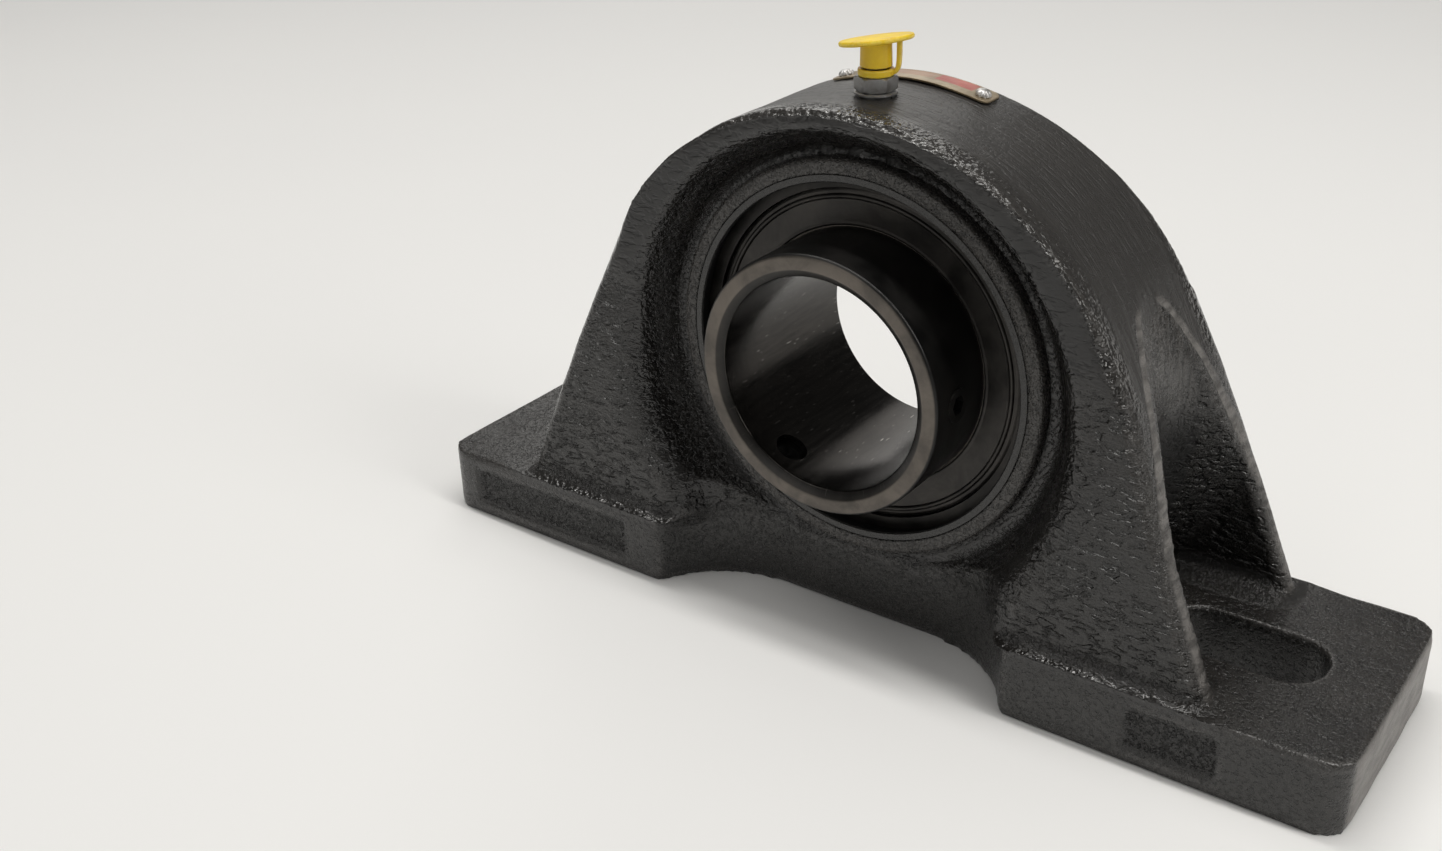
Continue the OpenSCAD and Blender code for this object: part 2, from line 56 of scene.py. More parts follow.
# Quads of a grid: cell (i, j) joins its four corners, and a wrapped side joins the last row to the first
def gridQuads(rows, columns, wrapRows=False, wrapColumns=False):
    i, j = np.meshgrid(np.arange(rows if wrapRows else rows - 1),
                       np.arange(columns if wrapColumns else columns - 1), indexing="ij")
    nextI, nextJ = (i + 1) % rows, (j + 1) % columns
    corners = [i * columns + j, nextI * columns + j, nextI * columns + nextJ, i * columns + nextJ]
    return np.stack(corners, -1).reshape(-1, 4)


# Puts one or more (points, quads) shells, in millimetres, into one mesh; poles are merged, faces turned outward
def shellMesh(name, shells):
    points, quads, start = [], [], 0
    for shellPoints, shellQuads in shells:
        points.append(shellPoints.reshape(-1, 3) * mm)
        quads.append(shellQuads + start)
        start += len(points[-1])
    mesh = bpy.data.meshes.new(name)
    mesh.from_pydata(np.vstack(points).tolist(), [], np.vstack(quads).tolist())
    bm = bmesh.new()
    bm.from_mesh(mesh)
    bmesh.ops.remove_doubles(bm, verts=bm.verts, dist=1e-7)
    bmesh.ops.recalc_face_normals(bm, faces=bm.faces)
    bm.to_mesh(mesh)
    bm.free()
    return mesh


# Rounds each inner corner of a profile: the corner becomes a parabola between two points cut back from it
def softCorners(profile, cut, steps=5):
    p = np.asarray(profile, float)
    out = [p[:1]]
    t = np.linspace(0, 1, steps)[:, None]
    for before, corner, after in zip(p[:-2], p[1:-1], p[2:]):
        lengths = [np.linalg.norm(before - corner), np.linalg.norm(after - corner)]
        back = min(cut, 0.45 * lengths[0], 0.45 * lengths[1])
        a = corner + (before - corner) * back / lengths[0]
        b = corner + (after - corner) * back / lengths[1]
        out.append((1 - t) ** 2 * a + 2 * t * (1 - t) * corner + t ** 2 * b)
    out.append(p[-1:])
    return np.vstack(out)


# Lathe: a profile of (radius, height) turned about an axis. radiusAt may change a radius by angle and height
def lathe(profile, centre, axis, side, segments=128, radiusAt=None, closed=False):
    profile = np.asarray(profile, float)
    angle = np.linspace(0, 2 * np.pi, segments, endpoint=False)[:, None]
    r = np.broadcast_to(profile[:, 0], (segments, len(profile)))
    h = np.broadcast_to(profile[:, 1], (segments, len(profile)))
    if radiusAt is not None:
        r = radiusAt(angle, r, h)
    other = np.cross(axis, side)
    points = (centre + r[..., None] * (np.cos(angle)[..., None] * side + np.sin(angle)[..., None] * other)
              + h[..., None] * axis)
    return points, gridQuads(segments, len(profile), True, closed)


# Sweep: a flat section of (across, out) offsets carried along a path that lies in one upright plane
def sweep(path, section, sideways):
    path = np.asarray(path, float)
    section = np.asarray(section, float)
    along = np.gradient(path, axis=0)
    along /= np.linalg.norm(along, axis=1, keepdims=True)
    outward = np.cross(along, sideways)
    ring = (path[:, None] + section[None, :, :1] * sideways
            + section[None, :, 1:] * outward[:, None])
    caps = [path[:1, None] + np.zeros((1, len(section), 3)), path[-1:, None] + np.zeros((1, len(section), 3))]
    points = np.concatenate([caps[0], ring, caps[1]])
    return points, gridQuads(len(points), len(section), False, True)


# Rounded rectangle section: a superellipse with the given half sizes
def pillowSection(halfA, halfB, power=5, steps=20):
    a = np.linspace(0, 2 * np.pi, steps, endpoint=False)
    c, s = np.cos(a), np.sin(a)
    return np.stack([halfA * np.sign(c) * np.abs(c) ** (2 / power),
                     halfB * np.sign(s) * np.abs(s) ** (2 / power)], -1)


def newPiece(name, mesh, body, stands=(), smoothAngle=None):
    piece = bpy.data.objects.new(name, mesh)
    scene.collection.objects.link(piece)
    mesh.polygons.foreach_set("use_smooth", np.ones(len(mesh.polygons), bool))
    if smoothAngle is not None:
        mesh.set_sharp_from_angle(angle=np.radians(smoothAngle))
    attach(piece, body)
    if stands:
        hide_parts(*stands)
    return piece


# Bakes the modifiers of an object into its mesh
def settle(piece):
    done = bpy.data.meshes.new_from_object(piece.evaluated_get(bpy.context.evaluated_depsgraph_get()))
    piece.modifiers.clear()
    old = piece.data
    piece.data = done
    bpy.data.meshes.remove(old)


# Voxel remesh of a closed mesh, then the voxel steps are smoothed away
def remeshed(name, mesh, voxel, passes):
    shell = bpy.data.objects.new(name, mesh)
    scene.collection.objects.link(shell)
    cast = shell.modifiers.new("cast", "REMESH")
    cast.mode = "VOXEL"
    cast.voxel_size = voxel * mm
    settle(shell)
    done = shell.data
    bpy.data.objects.remove(shell)
    storePoints(done, softened(meshArrays(done)[0], edgePairs(done), passes))
    done.name = name
    return done


def meshArrays(mesh):
    points = np.empty(len(mesh.vertices) * 3, np.float32)
    normals = np.empty(len(mesh.vertices) * 3, np.float32)
    mesh.vertices.foreach_get("co", points)
    mesh.vertices.foreach_get("normal", normals)
    return points.reshape(-1, 3).astype(float) / mm, normals.reshape(-1, 3).astype(float)


def edgePairs(mesh):
    pairs = np.empty(len(mesh.edges) * 2, np.int32)
    mesh.edges.foreach_get("vertices", pairs)
    return pairs.reshape(-1, 2)


def storePoints(mesh, points):
    mesh.vertices.foreach_set("co", (points * mm).astype(np.float32).ravel())
    mesh.update()


# Mean of each vertex's neighbours, from the list of edges
def neighbourMean(values, pairs):
    count = np.bincount(pairs.ravel(), minlength=len(values))[:, None]
    total = np.stack([np.bincount(pairs[:, 0], values[pairs[:, 1], k], len(values))
                      + np.bincount(pairs[:, 1], values[pairs[:, 0], k], len(values))
                      for k in range(values.shape[1])], -1)
    return total / np.maximum(count, 1)


# Smoothing that keeps the volume: each pass moves towards the neighbours' mean and then a little back
def softened(points, pairs, passes, give=0.5, back=-0.52):
    for _ in range(passes):
        points = points + give * (neighbourMean(points, pairs) - points)
        points = points + back * (neighbourMean(points, pairs) - points)
    return points


def setMask(mesh, name, values):
    layer = mesh.attributes.new(name, "FLOAT", "POINT")
    layer.data.foreach_set("value", np.clip(values, 0, 1).astype(np.float32))


def ramp01(x, low, high):
    t = np.clip((x - low) / (high - low), 0, 1)
    return t * t * (3 - 2 * t)


# Smooth noise: random values on a cubic lattice, blended between the eight corners of each cell
def latticeNoise(points, size, seed):
    q = points / size
    cell = np.floor(q).astype(np.int64)
    t = q - cell
    t = t * t * (3 - 2 * t)
    total = np.zeros(len(points))
    for corner in np.ndindex(2, 2, 2):
        c = cell + np.array(corner)
        code = (c[:, 0] * 73856093) ^ (c[:, 1] * 19349663) ^ (c[:, 2] * 83492791) ^ (seed * 2654435)
        code = ((code ^ (code >> 13)) * 1274126177) & 0x7fffffff
        value = ((code ^ (code >> 16)) & 0xffff) / 32767.5 - 1
        total += value * np.prod(np.where(np.array(corner), t, 1 - t), axis=1)
    return total


def feed(tree, socket, value):
    if isinstance(value, bpy.types.NodeSocket):
        tree.links.new(value, socket)
    else:
        socket.default_value = value


def put(tree, kind, props=None, **inputs):
    made = tree.nodes.new(kind)
    for name, value in (props or {}).items():
        setattr(made, name, value)
    for name, value in inputs.items():
        key = int(name[2:]) if name.startswith("at") else name.replace("_", " ")
        feed(tree, made.inputs[key], value)
    return made


def sums(tree, operation, a, b=0.0, clamp=False):
    return put(tree, "ShaderNodeMath", {"operation": operation, "use_clamp": clamp}, at0=a, at1=b).outputs[0]


def times(tree, a, b):
    return sums(tree, "MULTIPLY", a, b)


def larger(tree, a, b):
    return sums(tree, "MAXIMUM", a, b)


def blendColour(tree, factor, a, b):
    return put(tree, "ShaderNodeMix", {"data_type": "RGBA"}, at0=factor, at6=a, at7=b).outputs[2]


def blendValue(tree, factor, a, b):
    return put(tree, "ShaderNodeMix", {"data_type": "FLOAT"}, at0=factor, at2=a, at3=b).outputs[0]


def spread(tree, value, low=0.3, high=0.7, a=0.0, b=1.0):
    return put(tree, "ShaderNodeMapRange", {"interpolation_type": "SMOOTHSTEP"}, Value=value,
               From_Min=low, From_Max=high, To_Min=a, To_Max=b).outputs[0]


def mapped(tree, scale=(1, 1, 1), turn=(0, 0, 0), move=(0, 0, 0)):
    where = put(tree, "ShaderNodeTexCoord").outputs["Object"]
    return put(tree, "ShaderNodeMapping", None, Vector=where, Scale=scale, Rotation=turn, Location=move).outputs[0]


def grain(tree, vector, scale, detail=2.0, rough=0.5, distort=0.0):
    return put(tree, "ShaderNodeTexNoise", None, Vector=vector, Scale=scale, Detail=detail,
               Roughness=rough, Distortion=distort).outputs[0]


def mask(tree, name):
    return put(tree, "ShaderNodeAttribute", {"attribute_name": name}).outputs["Fac"]


def grey(value, warm=0.0):
    return (value * (1 + warm), value, value * (1 - warm), 1)


def newGroup(name, inputs, outputs):
    tree = bpy.data.node_groups.new(name, "ShaderNodeTree")
    for label, kind, value in inputs:
        socket = tree.interface.new_socket(name=label, in_out="INPUT", socket_type="NodeSocket" + kind)
        if value is not None:
            socket.default_value = value
    for label, kind in outputs:
        tree.interface.new_socket(name=label, in_out="OUTPUT", socket_type="NodeSocket" + kind)
    return tree, tree.nodes.new("NodeGroupInput"), tree.nodes.new("NodeGroupOutput")


def useGroup(tree, group, **inputs):
    return put(tree, "ShaderNodeGroup", {"node_tree": group}, **inputs)


# Wrinkled cast skin: pits and ridges from two noises
def buildCastSkin():
    tree, source, sink = newGroup("castSkin", [("Vector", "Vector", None), ("Size", "Float", 1.0)],
                                  [("Height", "Float"), ("Pits", "Float")])
    vector = source.outputs["Vector"]
    coarse = grain(tree, vector, source.outputs["Size"], 2.5, 0.55, 0.6)
    fine = grain(tree, vector, times(tree, source.outputs["Size"], 3.1), 2.0, 0.5)
    pits = spread(tree, coarse, 0.34, 0.52)
    height = sums(tree, "ADD", times(tree, pits, 0.75), times(tree, fine, 0.45))
    tree.links.new(height, sink.inputs["Height"])
    tree.links.new(pits, sink.inputs["Pits"])
    return tree


# Edge wear: an edge mask broken up by noise, so only part of each edge is rubbed
def buildEdgeWear():
    tree, source, sink = newGroup("edgeWear", [("Edge", "Float", 0.0), ("Amount", "Float", 0.5),
                                               ("Size", "Float", 200.0)], [("Mask", "Float")])
    speck = grain(tree, mapped(tree), source.outputs["Size"], 4.0, 0.65)
    cut = sums(tree, "SUBTRACT", 1.0, source.outputs["Amount"])
    both = times(tree, source.outputs["Edge"], speck)
    made = put(tree, "ShaderNodeMapRange", None, Value=both, From_Min=times(tree, cut, 0.6),
               From_Max=sums(tree, "ADD", times(tree, cut, 0.6), 0.12)).outputs[0]
    tree.links.new(made, sink.inputs["Mask"])
    return tree


# Dust: gathers on faces that look up, thinned by two sizes of noise
def buildDust():
    tree, source, sink = newGroup("dust", [("Amount", "Float", 0.2)], [("Mask", "Float")])
    normal = put(tree, "ShaderNodeNewGeometry").outputs["Normal"]
    upward = put(tree, "ShaderNodeSeparateXYZ", None, Vector=normal).outputs["Z"]
    cloud = grain(tree, mapped(tree), 60.0, 4.0, 0.6)
    speck = grain(tree, mapped(tree), 1400.0, 2.0, 0.5)
    made = times(tree, spread(tree, upward, 0.1, 0.95), spread(tree, cloud, 0.35, 0.75))
    made = times(tree, made, spread(tree, speck, 0.3, 0.7, 0.4, 1.0))
    tree.links.new(times(tree, made, source.outputs["Amount"]), sink.inputs["Mask"])
    return tree


# Turned steel: fine lines that keep to one radius about the shaft, and a slow stain
def buildTurned():
    tree, source, sink = newGroup("turnedSteel", [("Lines", "Float", 3000.0)],
                                  [("Height", "Float"), ("Stain", "Float")])
    place = mapped(tree, move=tuple(-block["shaft"] * mm))
    parts = put(tree, "ShaderNodeSeparateXYZ", None, Vector=place)
    squares = [times(tree, parts.outputs[k], parts.outputs[k]) for k in ("X", "Z")]
    radius = sums(tree, "SQRT", sums(tree, "ADD", *squares))
    turned = put(tree, "ShaderNodeCombineXYZ", None, X=radius, Y=parts.outputs["Y"], Z=0.0).outputs[0]
    lines = grain(tree, turned, source.outputs["Lines"], 2.0, 0.6)
    stain = grain(tree, place, 90.0, 5.0, 0.62, 0.4)
    tree.links.new(lines, sink.inputs["Height"])
    tree.links.new(stain, sink.inputs["Stain"])
    return tree


castSkin, edgeWear, dust, turnedSteel = buildCastSkin(), buildEdgeWear(), buildDust(), buildTurned()


def newFinish(name):
    material = bpy.data.materials.new(name)
    material.use_nodes = True
    return material, material.node_tree, material.node_tree.nodes["Principled BSDF"]


def bump(tree, height, distance, strength=1.0):
    return put(tree, "ShaderNodeBump", None, Height=height, Distance=distance, Strength=strength).outputs[0]


def wire(tree, shader, **inputs):
    for name, value in inputs.items():
        feed(tree, shader.inputs[name.replace("_", " ")], value)


def dress(piece, material):
    piece.data.materials.clear()
    piece.data.materials.append(material)


print("tools ready")

view = {
    "at": (0.2101, -0.3505, 0.2637), "right": (0.7998, 0.5993, -0.0327),
    "up": (-0.2486, 0.3804, 0.8908), "back": (0.5463, -0.7043, 0.4533), "lens": 38.68,
}
cameraData = bpy.data.cameras.new("camera")
cameraData.sensor_width = 36
cameraData.lens = view["lens"]
cameraData.clip_start = 0.01
camera = bpy.data.objects.new("camera", cameraData)
turn = Matrix((view["right"], view["up"], view["back"])).transposed().to_quaternion().normalized()
camera.matrix_world = Matrix.LocRotScale(view["at"], turn, None)
scene.collection.objects.link(camera)
scene.camera = camera

studio = {
    "floor": (0.84, 0.84, 0.83, 1), "floorSize": 8.0,
    "sky": (1.0, 0.985, 0.96, 1), "skyStrength": 0.11,
    "lamps": [  # name, place, aim, width, length, power, colour
        ("overhead", (-0.35, -0.1, 2.1), (0, 0, 0.08), 2.4, 2.4, 15.0, (1, 0.98, 0.945)),
        ("tube", (0.4, 0.06, 1.65), (0.4, 0.0, 0.1), 3.1, 0.12, 21.0, (1, 0.98, 0.945)),
        ("back", (-1.3, 2.0, 1.25), (0, 0, 0.1), 1.6, 1.6, 10.0, (1, 0.985, 0.95)),
        ("side", (1.25, -0.05, 0.85), (0.05, 0, 0.06), 0.5, 0.5, 4.4, (1, 0.975, 0.935)),
        ("front", (-0.4, -1.7, 0.8), (0, 0, 0.08), 1.2, 0.8, 3.4, (1, 0.98, 0.95)),
    ],
}


def buildStudio():
    half = studio["floorSize"] / 2
    mesh = bpy.data.meshes.new("floor")
    mesh.from_pydata([(-half, -half, 0), (half, -half, 0), (half, half, 0), (-half, half, 0)], [], [(0, 1, 2, 3)])
    floor = bpy.data.objects.new("floor", mesh)
    scene.collection.objects.link(floor)
    material, tree, shader = newFinish("paleFloor")
    cloud = grain(tree, mapped(tree), 3.0, 3.0)
    wire(tree, shader, Base_Color=blendColour(tree, cloud, studio["floor"], grey(0.82)), Roughness=0.85,
         Specular_IOR_Level=0.1)
    dress(floor, material)
    world = bpy.data.worlds.new("studio")
    world.use_nodes = True
    back = world.node_tree.nodes["Background"]
    back.inputs["Color"].default_value = studio["sky"]
    back.inputs["Strength"].default_value = studio["skyStrength"]
    scene.world = world
    for name, place, aim, width, length, power, colour in studio["lamps"]:
        lamp = bpy.data.lights.new(name, "AREA")
        lamp.shape, lamp.size, lamp.size_y = "RECTANGLE", width, length
        lamp.energy, lamp.color = power, colour
        holder = bpy.data.objects.new(name, lamp)
        turned = (Vector(aim) - Vector(place)).to_track_quat("-Z", "Y")
        holder.matrix_world = Matrix.LocRotScale(place, turned, None)
        scene.collection.objects.link(holder)


buildStudio()
scene.view_settings.view_transform = "Standard"
print("studio ready")

housingLook = {
    "voxel": 1.28, "passes": 5,
    "swell": [(26.0, 0.22), (9.0, 0.12)],     # size and height of the casting's unevenness
    "flare": 6.6, "flareTop": 92.0,           # how far the ribs spread at the feet, and where that starts
    "ribOut": 1.9,                            # how far the ribs' backs stand out
    "seatGap": 0.3, "lipSink": 0.65,          # visual clearance round the insert; how far the lip hides
    "panels": [(-104.5, 32.0), (106.5, 12.5)], "panelZ": (4.7, 17.1), "panelDepth": 1.15,
}


# Nearness to the two ground rib backs: distance from the sloping plane through a rib's outer foot
def ribBack(points):
    along = np.array([np.cos(block["ribAngle"]), np.sin(block["ribAngle"])])
    offset = np.array([block["ribFootX"], block["footTop"]]) @ along
    return np.abs(points[:, 0]) * along[0] + points[:, 2] * along[1] - offset


# Half width of a pocket's outline where the back lies at a given distance from the shaft: the pocket's floor
# is round, so the width is its flat part plus the half chord of its fillet at that depth
def pocketHalf(turnR):
    fillet = block["barrelFillet"]
    depth = np.clip(turnR - block["barrelR"], 0, fillet)
    return block["ribInner"] - fillet + np.sqrt(2 * fillet * depth - depth ** 2)


# Spreads the ribs towards the feet: each side moves out by the flare times one less the square of its height's
# share. The pocket's walls follow less than the outer faces, and the hub and the feet's own edges stay. The ribs'
# backs move out along x, which fades with the distance below the back
def flareRibs(points):
    x, y, z = points.T
    acrossX, acrossY = np.abs(x), np.abs(y)
    low, high = block["footTop"], housingLook["flareTop"]
    share = np.clip((z - low) / (high - low), 0, 1)
    turnR = np.hypot(x, z - block["shaft"][2])
    amount = housingLook["flare"] * (1 - share ** 2) * ramp01(acrossY, 19, 27)
    amount *= np.clip((block["footHalfY"] - 0.1 - acrossY) / 5.9, 0, 1) * ramp01(z, low - 1.0, low - 0.2)
    amount *= ramp01(acrossX, 44, 62) * ramp01(acrossX, 128, 113) * ramp01(turnR, 64, 80)
    standOut = housingLook["ribOut"] * ramp01(ribBack(points), -14, -4) * ramp01(z, 110, 88)
    standOut *= ramp01(z, low - 1.0, low - 0.2) * ramp01(acrossX, 132, 116)
    points[:, 0] += np.sign(x) * standOut
    points[:, 1] += np.sign(y) * amount


# Sinks the foot's front round each panel's rectangle: the depth grows over the rim's distance to the rectangle
def sinkPanels(points, normals):
    x, y, z = points.T
    low, high = housingLook["panelZ"]
    inside = np.zeros(len(points))
    faceOn = (normals[:, 1] < -0.5) & (y < -35.5)
    for middle, half in housingLook["panels"]:
        inset = np.minimum(half - np.abs(x - middle), np.minimum(z - low, high - z))
        near = faceOn & (inset > -3)
        points[near, 1] = -block["footHalfY"] + housingLook["panelDepth"] * ramp01(inset[near], -0.55, 0.75)
        inside = np.maximum(inside, np.where(faceOn, ramp01(inset, -0.3, 0.6), 0))
    return inside


# Keeps the casting's own lip under the turned lip pieces, and its seat behind them: radii about the shaft are
# held between two limits there, and the lip's height below the turned face
def hideLip(points, out):
    turnR = np.hypot(out[:, 0], out[:, 2])
    y = points[:, 1]
    lip = (np.abs(y) > 15.6) & (turnR < 59.4)
    notch = lip & (y > 0) & (np.abs(out[:, 2]) < 15.3)
    held = np.clip(turnR, np.where(notch, 56.0, 54.0), 57.4)
    scale = np.where(lip, held / np.maximum(turnR, 1e-6), 1)
    points[:, 0] = out[:, 0] * scale
    points[:, 2] = block["shaft"][2] + out[:, 2] * scale
    points[:, 1] = np.where(lip, np.sign(y) * np.minimum(np.abs(y), block["hubHalf"] - housingLook["lipSink"]), y)
    inSeat = np.linalg.norm(points - block["shaft"], axis=1)
    least = block["seatR"] + np.where(np.abs(y) > 7, 0.62, housingLook["seatGap"])
    pushed = (inSeat < least) & (np.abs(y) < block["hubHalf"] + 1) & ~lip
    points[pushed] = block["shaft"] + (points[pushed] - block["shaft"]) * (least / inSeat)[pushed, None]


# Housing: the solid's mesh, remeshed and moved along its normals by noise, then spread, sunk and given its masks
def buildHousing():
    bm = bmesh.new()
    bm.from_mesh(nodes["housing"].data)
    bmesh.ops.remove_doubles(bm, verts=bm.verts, dist=1e-6)
    mesh = bpy.data.meshes.new("castHousing")
    bm.to_mesh(mesh)
    bm.free()
    mesh = remeshed("castHousing", mesh, housingLook["voxel"], housingLook["passes"])
    points, normals = meshArrays(mesh)
    x, y, z = points.T.copy()
    nx, ny, nz = normals.T
    out = points - block["shaft"]
    turnR = np.hypot(out[:, 0], out[:, 2])
    archR = np.hypot(x, z - block["archZ"])
    machined = ramp01(turnR, 57.0, 55.0) * ramp01(np.abs(y), 21.0, 20.6)
    underside = ramp01(z, 0.6, 0.1)
    swell = sum(height * latticeNoise(points, size, k) for k, (size, height) in enumerate(housingLook["swell"]))
    points = points + normals * (swell * np.clip(1 - machined - underside, 0, 1))[:, None]
    plain = points.copy()
    flareRibs(points)
    panel = sinkPanels(points, normals)
    hideLip(points, points - block["shaft"])
    points[:, 2] = np.where(underside > 0.5, 0, np.maximum(points[:, 2], 0))
    storePoints(mesh, points)

    pairs = edgePairs(mesh)
    hollow = np.einsum("ij,ij->i", neighbourMean(points, pairs) - points, normals)
    hollow = neighbourMean(neighbourMean(hollow[:, None], pairs), pairs)[:, 0]
    plane = ribBack(plain)
    faceRib = np.abs(nx) * np.cos(block["ribAngle"]) + nz * np.sin(block["ribAngle"])
    faceArch = (x * nx + (z - block["archZ"]) * nz) / archR
    onRib = ramp01(np.abs(plane), 1.3, 0.5) * ramp01(faceRib, 0.7, 0.92) * ramp01(z, 22.3, 24.0)
    onArch = ramp01(archR, 84.2, 85.0) * ramp01(faceArch, 0.7, 0.92)
    edgeY = pocketHalf(turnR)
    strip = ramp01(np.abs(np.abs(y) - edgeY - 2.3), 3.2, 2.0) * ramp01(turnR - block["barrelR"], 0.1, 0.8)
    strip *= np.maximum(onRib, onArch)
    onEnd = ramp01(np.abs(x), block["footHalfX"] - 1.1, block["footHalfX"] - 0.3) * ramp01(np.abs(nx), 0.75, 0.95)
    onBack = onArch * ramp01(z, 88, 100)
    inPocket = ramp01(np.abs(y), 23.8, 22.6) * ramp01(np.abs(x), 52, 56) * ramp01(plane, -0.4, -1.2)
    inPocket *= ramp01(archR, 85.3, 84.6) * ramp01(z, 22.5, 24) * ramp01(turnR, 77, 79)
    front = ramp01(np.abs(ny), 0.35, 0.75) * ramp01(z, 22.0, 26.0)
    valley = ramp01(turnR, 65.5, 62.0) * ramp01(np.abs(y), 24.0, 20.5) * ramp01(z, 22, 26)
    brim = ramp01(np.abs(np.hypot(x, z - 80.7) - 69.5), 3.5, 1.5) * ramp01(np.abs(y), 22.0, 25.0) * ramp01(z, 22, 26)
    brow = ramp01(archR, 79.5, 82.5) * ramp01(np.abs(y), 18.0, 24.5) * ramp01(z, 84, 104) * (1 - strip)
    brow *= ramp01(np.abs(ny), 0.88, 0.70)
    # Smooth front band between the dome's edge and the dish; its colour is darkened later as painted shade
    calmShadedBand = ramp01(archR, 70.0, 73.0) * ramp01(np.abs(ny), 0.75, 0.9) * ramp01(z, 92, 112) * (1 - brow)
    skirt = ramp01(np.abs(y), 28.0, 30.0) * ramp01(np.abs(y), 38.2, 37.4) * ramp01(z, 20.0, 21.2)
    skirt *= ramp01(z, 25.5, 23.5) * ramp01(np.abs(x), 51, 56) * ramp01(np.abs(x), 120, 110)
    setMask(mesh, "back", np.maximum(onRib, onArch) * ramp01(np.abs(x), 50, 56) * ramp01(z, 22.3, 23.5))
    setMask(mesh, "plainY", np.abs(y) / block["footHalfY"])
    setMask(mesh, "footEnd", onEnd)
    setMask(mesh, "archBack", onBack * (1 - strip))
    setMask(mesh, "pocketTop", inPocket * ramp01(z, 70, 92))
    setMask(mesh, "nose", ramp01(faceArch, 0.6, 0.8) * ramp01(z, 90, 97) * ramp01(np.abs(x), 60, 66))
    setMask(mesh, "pocketLow", inPocket * ramp01(z, 84, 60))
    setMask(mesh, "front", front * (1 - valley))
    setMask(mesh, "valley", valley)
    setMask(mesh, "calmShadedBand", calmShadedBand)
    setMask(mesh, "grit", np.maximum(np.maximum(brow, skirt), 0.45 * brim))
    setMask(mesh, "panel", panel)
    setMask(mesh, "crease", ramp01(hollow, 0.012, 0.06))
    setMask(mesh, "edge", ramp01(-hollow, 0.012, 0.07))
    return newPiece("castHousing", mesh, "block", ["housing"])


# Hub lip: a closed profile (outer wall, rounded brow, rough face, fine turned line, turned face, mouth edge, then
# the seat's ball shape) turned about the shaft. At the rear two level notches widen the seat to a plain cylinder
lipSizes = {"low": 6.0, "round": 1.5, "proud": 0.06, "seat": 55.3, "turnedR": 53.95, "notchHalf": 15.3}


def buildLip(name, facing):
    s = lipSizes
    outer, face = block["hubR"] + s["proud"], block["hubHalf"] + s["proud"]
    top, line = face + 0.14, s["turnedR"]
    a = np.linspace(0, np.pi / 2, 9)
    brow = np.stack([outer - s["round"] * (1 - np.cos(a)), top - s["round"] * (1 - np.sin(a))], -1)
    deep = np.linspace(face - 0.45, s["low"], 14)
    seat = np.stack([np.sqrt(s["seat"] ** 2 - deep ** 2), deep], -1)
    faces = [[55.4, top], [line + 0.35, top], [line + 0.12, top - 0.1], [line, face - 0.3], [line - 0.15, face],
             [52.6, face], [seat[0, 0] + 0.35, face]]
    profile = np.vstack([[[outer, s["low"]], [outer, top - s["round"] - 3]], brow, faces, seat])

    def notches(angle, r, h):
        level = (np.abs(np.sin(angle) * 54.0) < s["notchHalf"]) & (facing < 0)
        return np.where(level, np.maximum(r, 55.12), r)

    profile[:, 1] *= facing
    mesh = shellMesh(name, [lathe(profile, block["shaft"], -yAxis, xAxis, 288, notches, True)])
    points = meshArrays(mesh)[0]
    r = np.hypot(points[:, 0], points[:, 2] - block["shaft"][2])
    setMask(mesh, "crust", ramp01(r, line + 0.1, line + 0.4))
    setMask(mesh, "turned", ramp01(r, line + 0.05, line - 0.05))
    below = ramp01(np.abs(points[:, 1]), face - 0.2, face - 0.5)
    setMask(mesh, "mouth", below * ramp01(r, outer - 1.0, outer - 2.0))
    return newPiece(name, mesh, "block", ["housing"], 50)


# Ground strip beside a pocket's outline: the outline's half width follows from the distance to the shaft, as in
# pocketHalf, and the strip lies between that width and a fixed distance outside it, with a ragged edge. The place
# across comes from plainY, the share of the feet's half depth before the ribs were spread
def buildStrip():
    tree, source, sink = newGroup("groundStrip", [("Width", "Float", 3.0), ("Ragged", "Float", 1.0)],
                                  [("Mask", "Float"), ("Inside", "Float")])
    place = mapped(tree, (1000, 1000, 1000), move=tuple(-block["shaft"]))
    parts = put(tree, "ShaderNodeSeparateXYZ", None, Vector=place)
    squares = [times(tree, parts.outputs[k], parts.outputs[k]) for k in ("X", "Z")]
    radius = sums(tree, "SQRT", sums(tree, "ADD", *squares))
    fillet = block["barrelFillet"]
    depth = sums(tree, "SUBTRACT", radius, block["barrelR"])
    held = sums(tree, "MINIMUM", larger(tree, depth, 0.0), fillet)
    under = sums(tree, "SUBTRACT", times(tree, held, 2 * fillet), times(tree, held, held))
    chord = sums(tree, "SQRT", under)
    half = sums(tree, "ADD", chord, block["ribInner"] - fillet)
    ragged = grain(tree, mapped(tree), 260.0, 4.0, 0.6)
    ragged = times(tree, sums(tree, "SUBTRACT", ragged, 0.5), source.outputs["Ragged"])
    across = times(tree, mask(tree, "plainY"), block["footHalfY"])
    past = sums(tree, "ADD", sums(tree, "SUBTRACT", across, half), ragged)
    inner = spread(tree, past, -0.35, 0.1)
    outer = put(tree, "ShaderNodeMapRange", {"interpolation_type": "SMOOTHSTEP"},
                Value=sums(tree, "SUBTRACT", past, source.outputs["Width"]), From_Min=-0.6, From_Max=0.6,
                To_Min=1.0, To_Max=0.0).outputs[0]
    cut = spread(tree, depth, 0.05, 0.6)
    tree.links.new(times(tree, times(tree, inner, outer), cut), sink.inputs["Mask"])
    tree.links.new(times(tree, sums(tree, "SUBTRACT", 1.0, inner), cut), sink.inputs["Inside"])
    return tree


groundStrip = buildStrip()


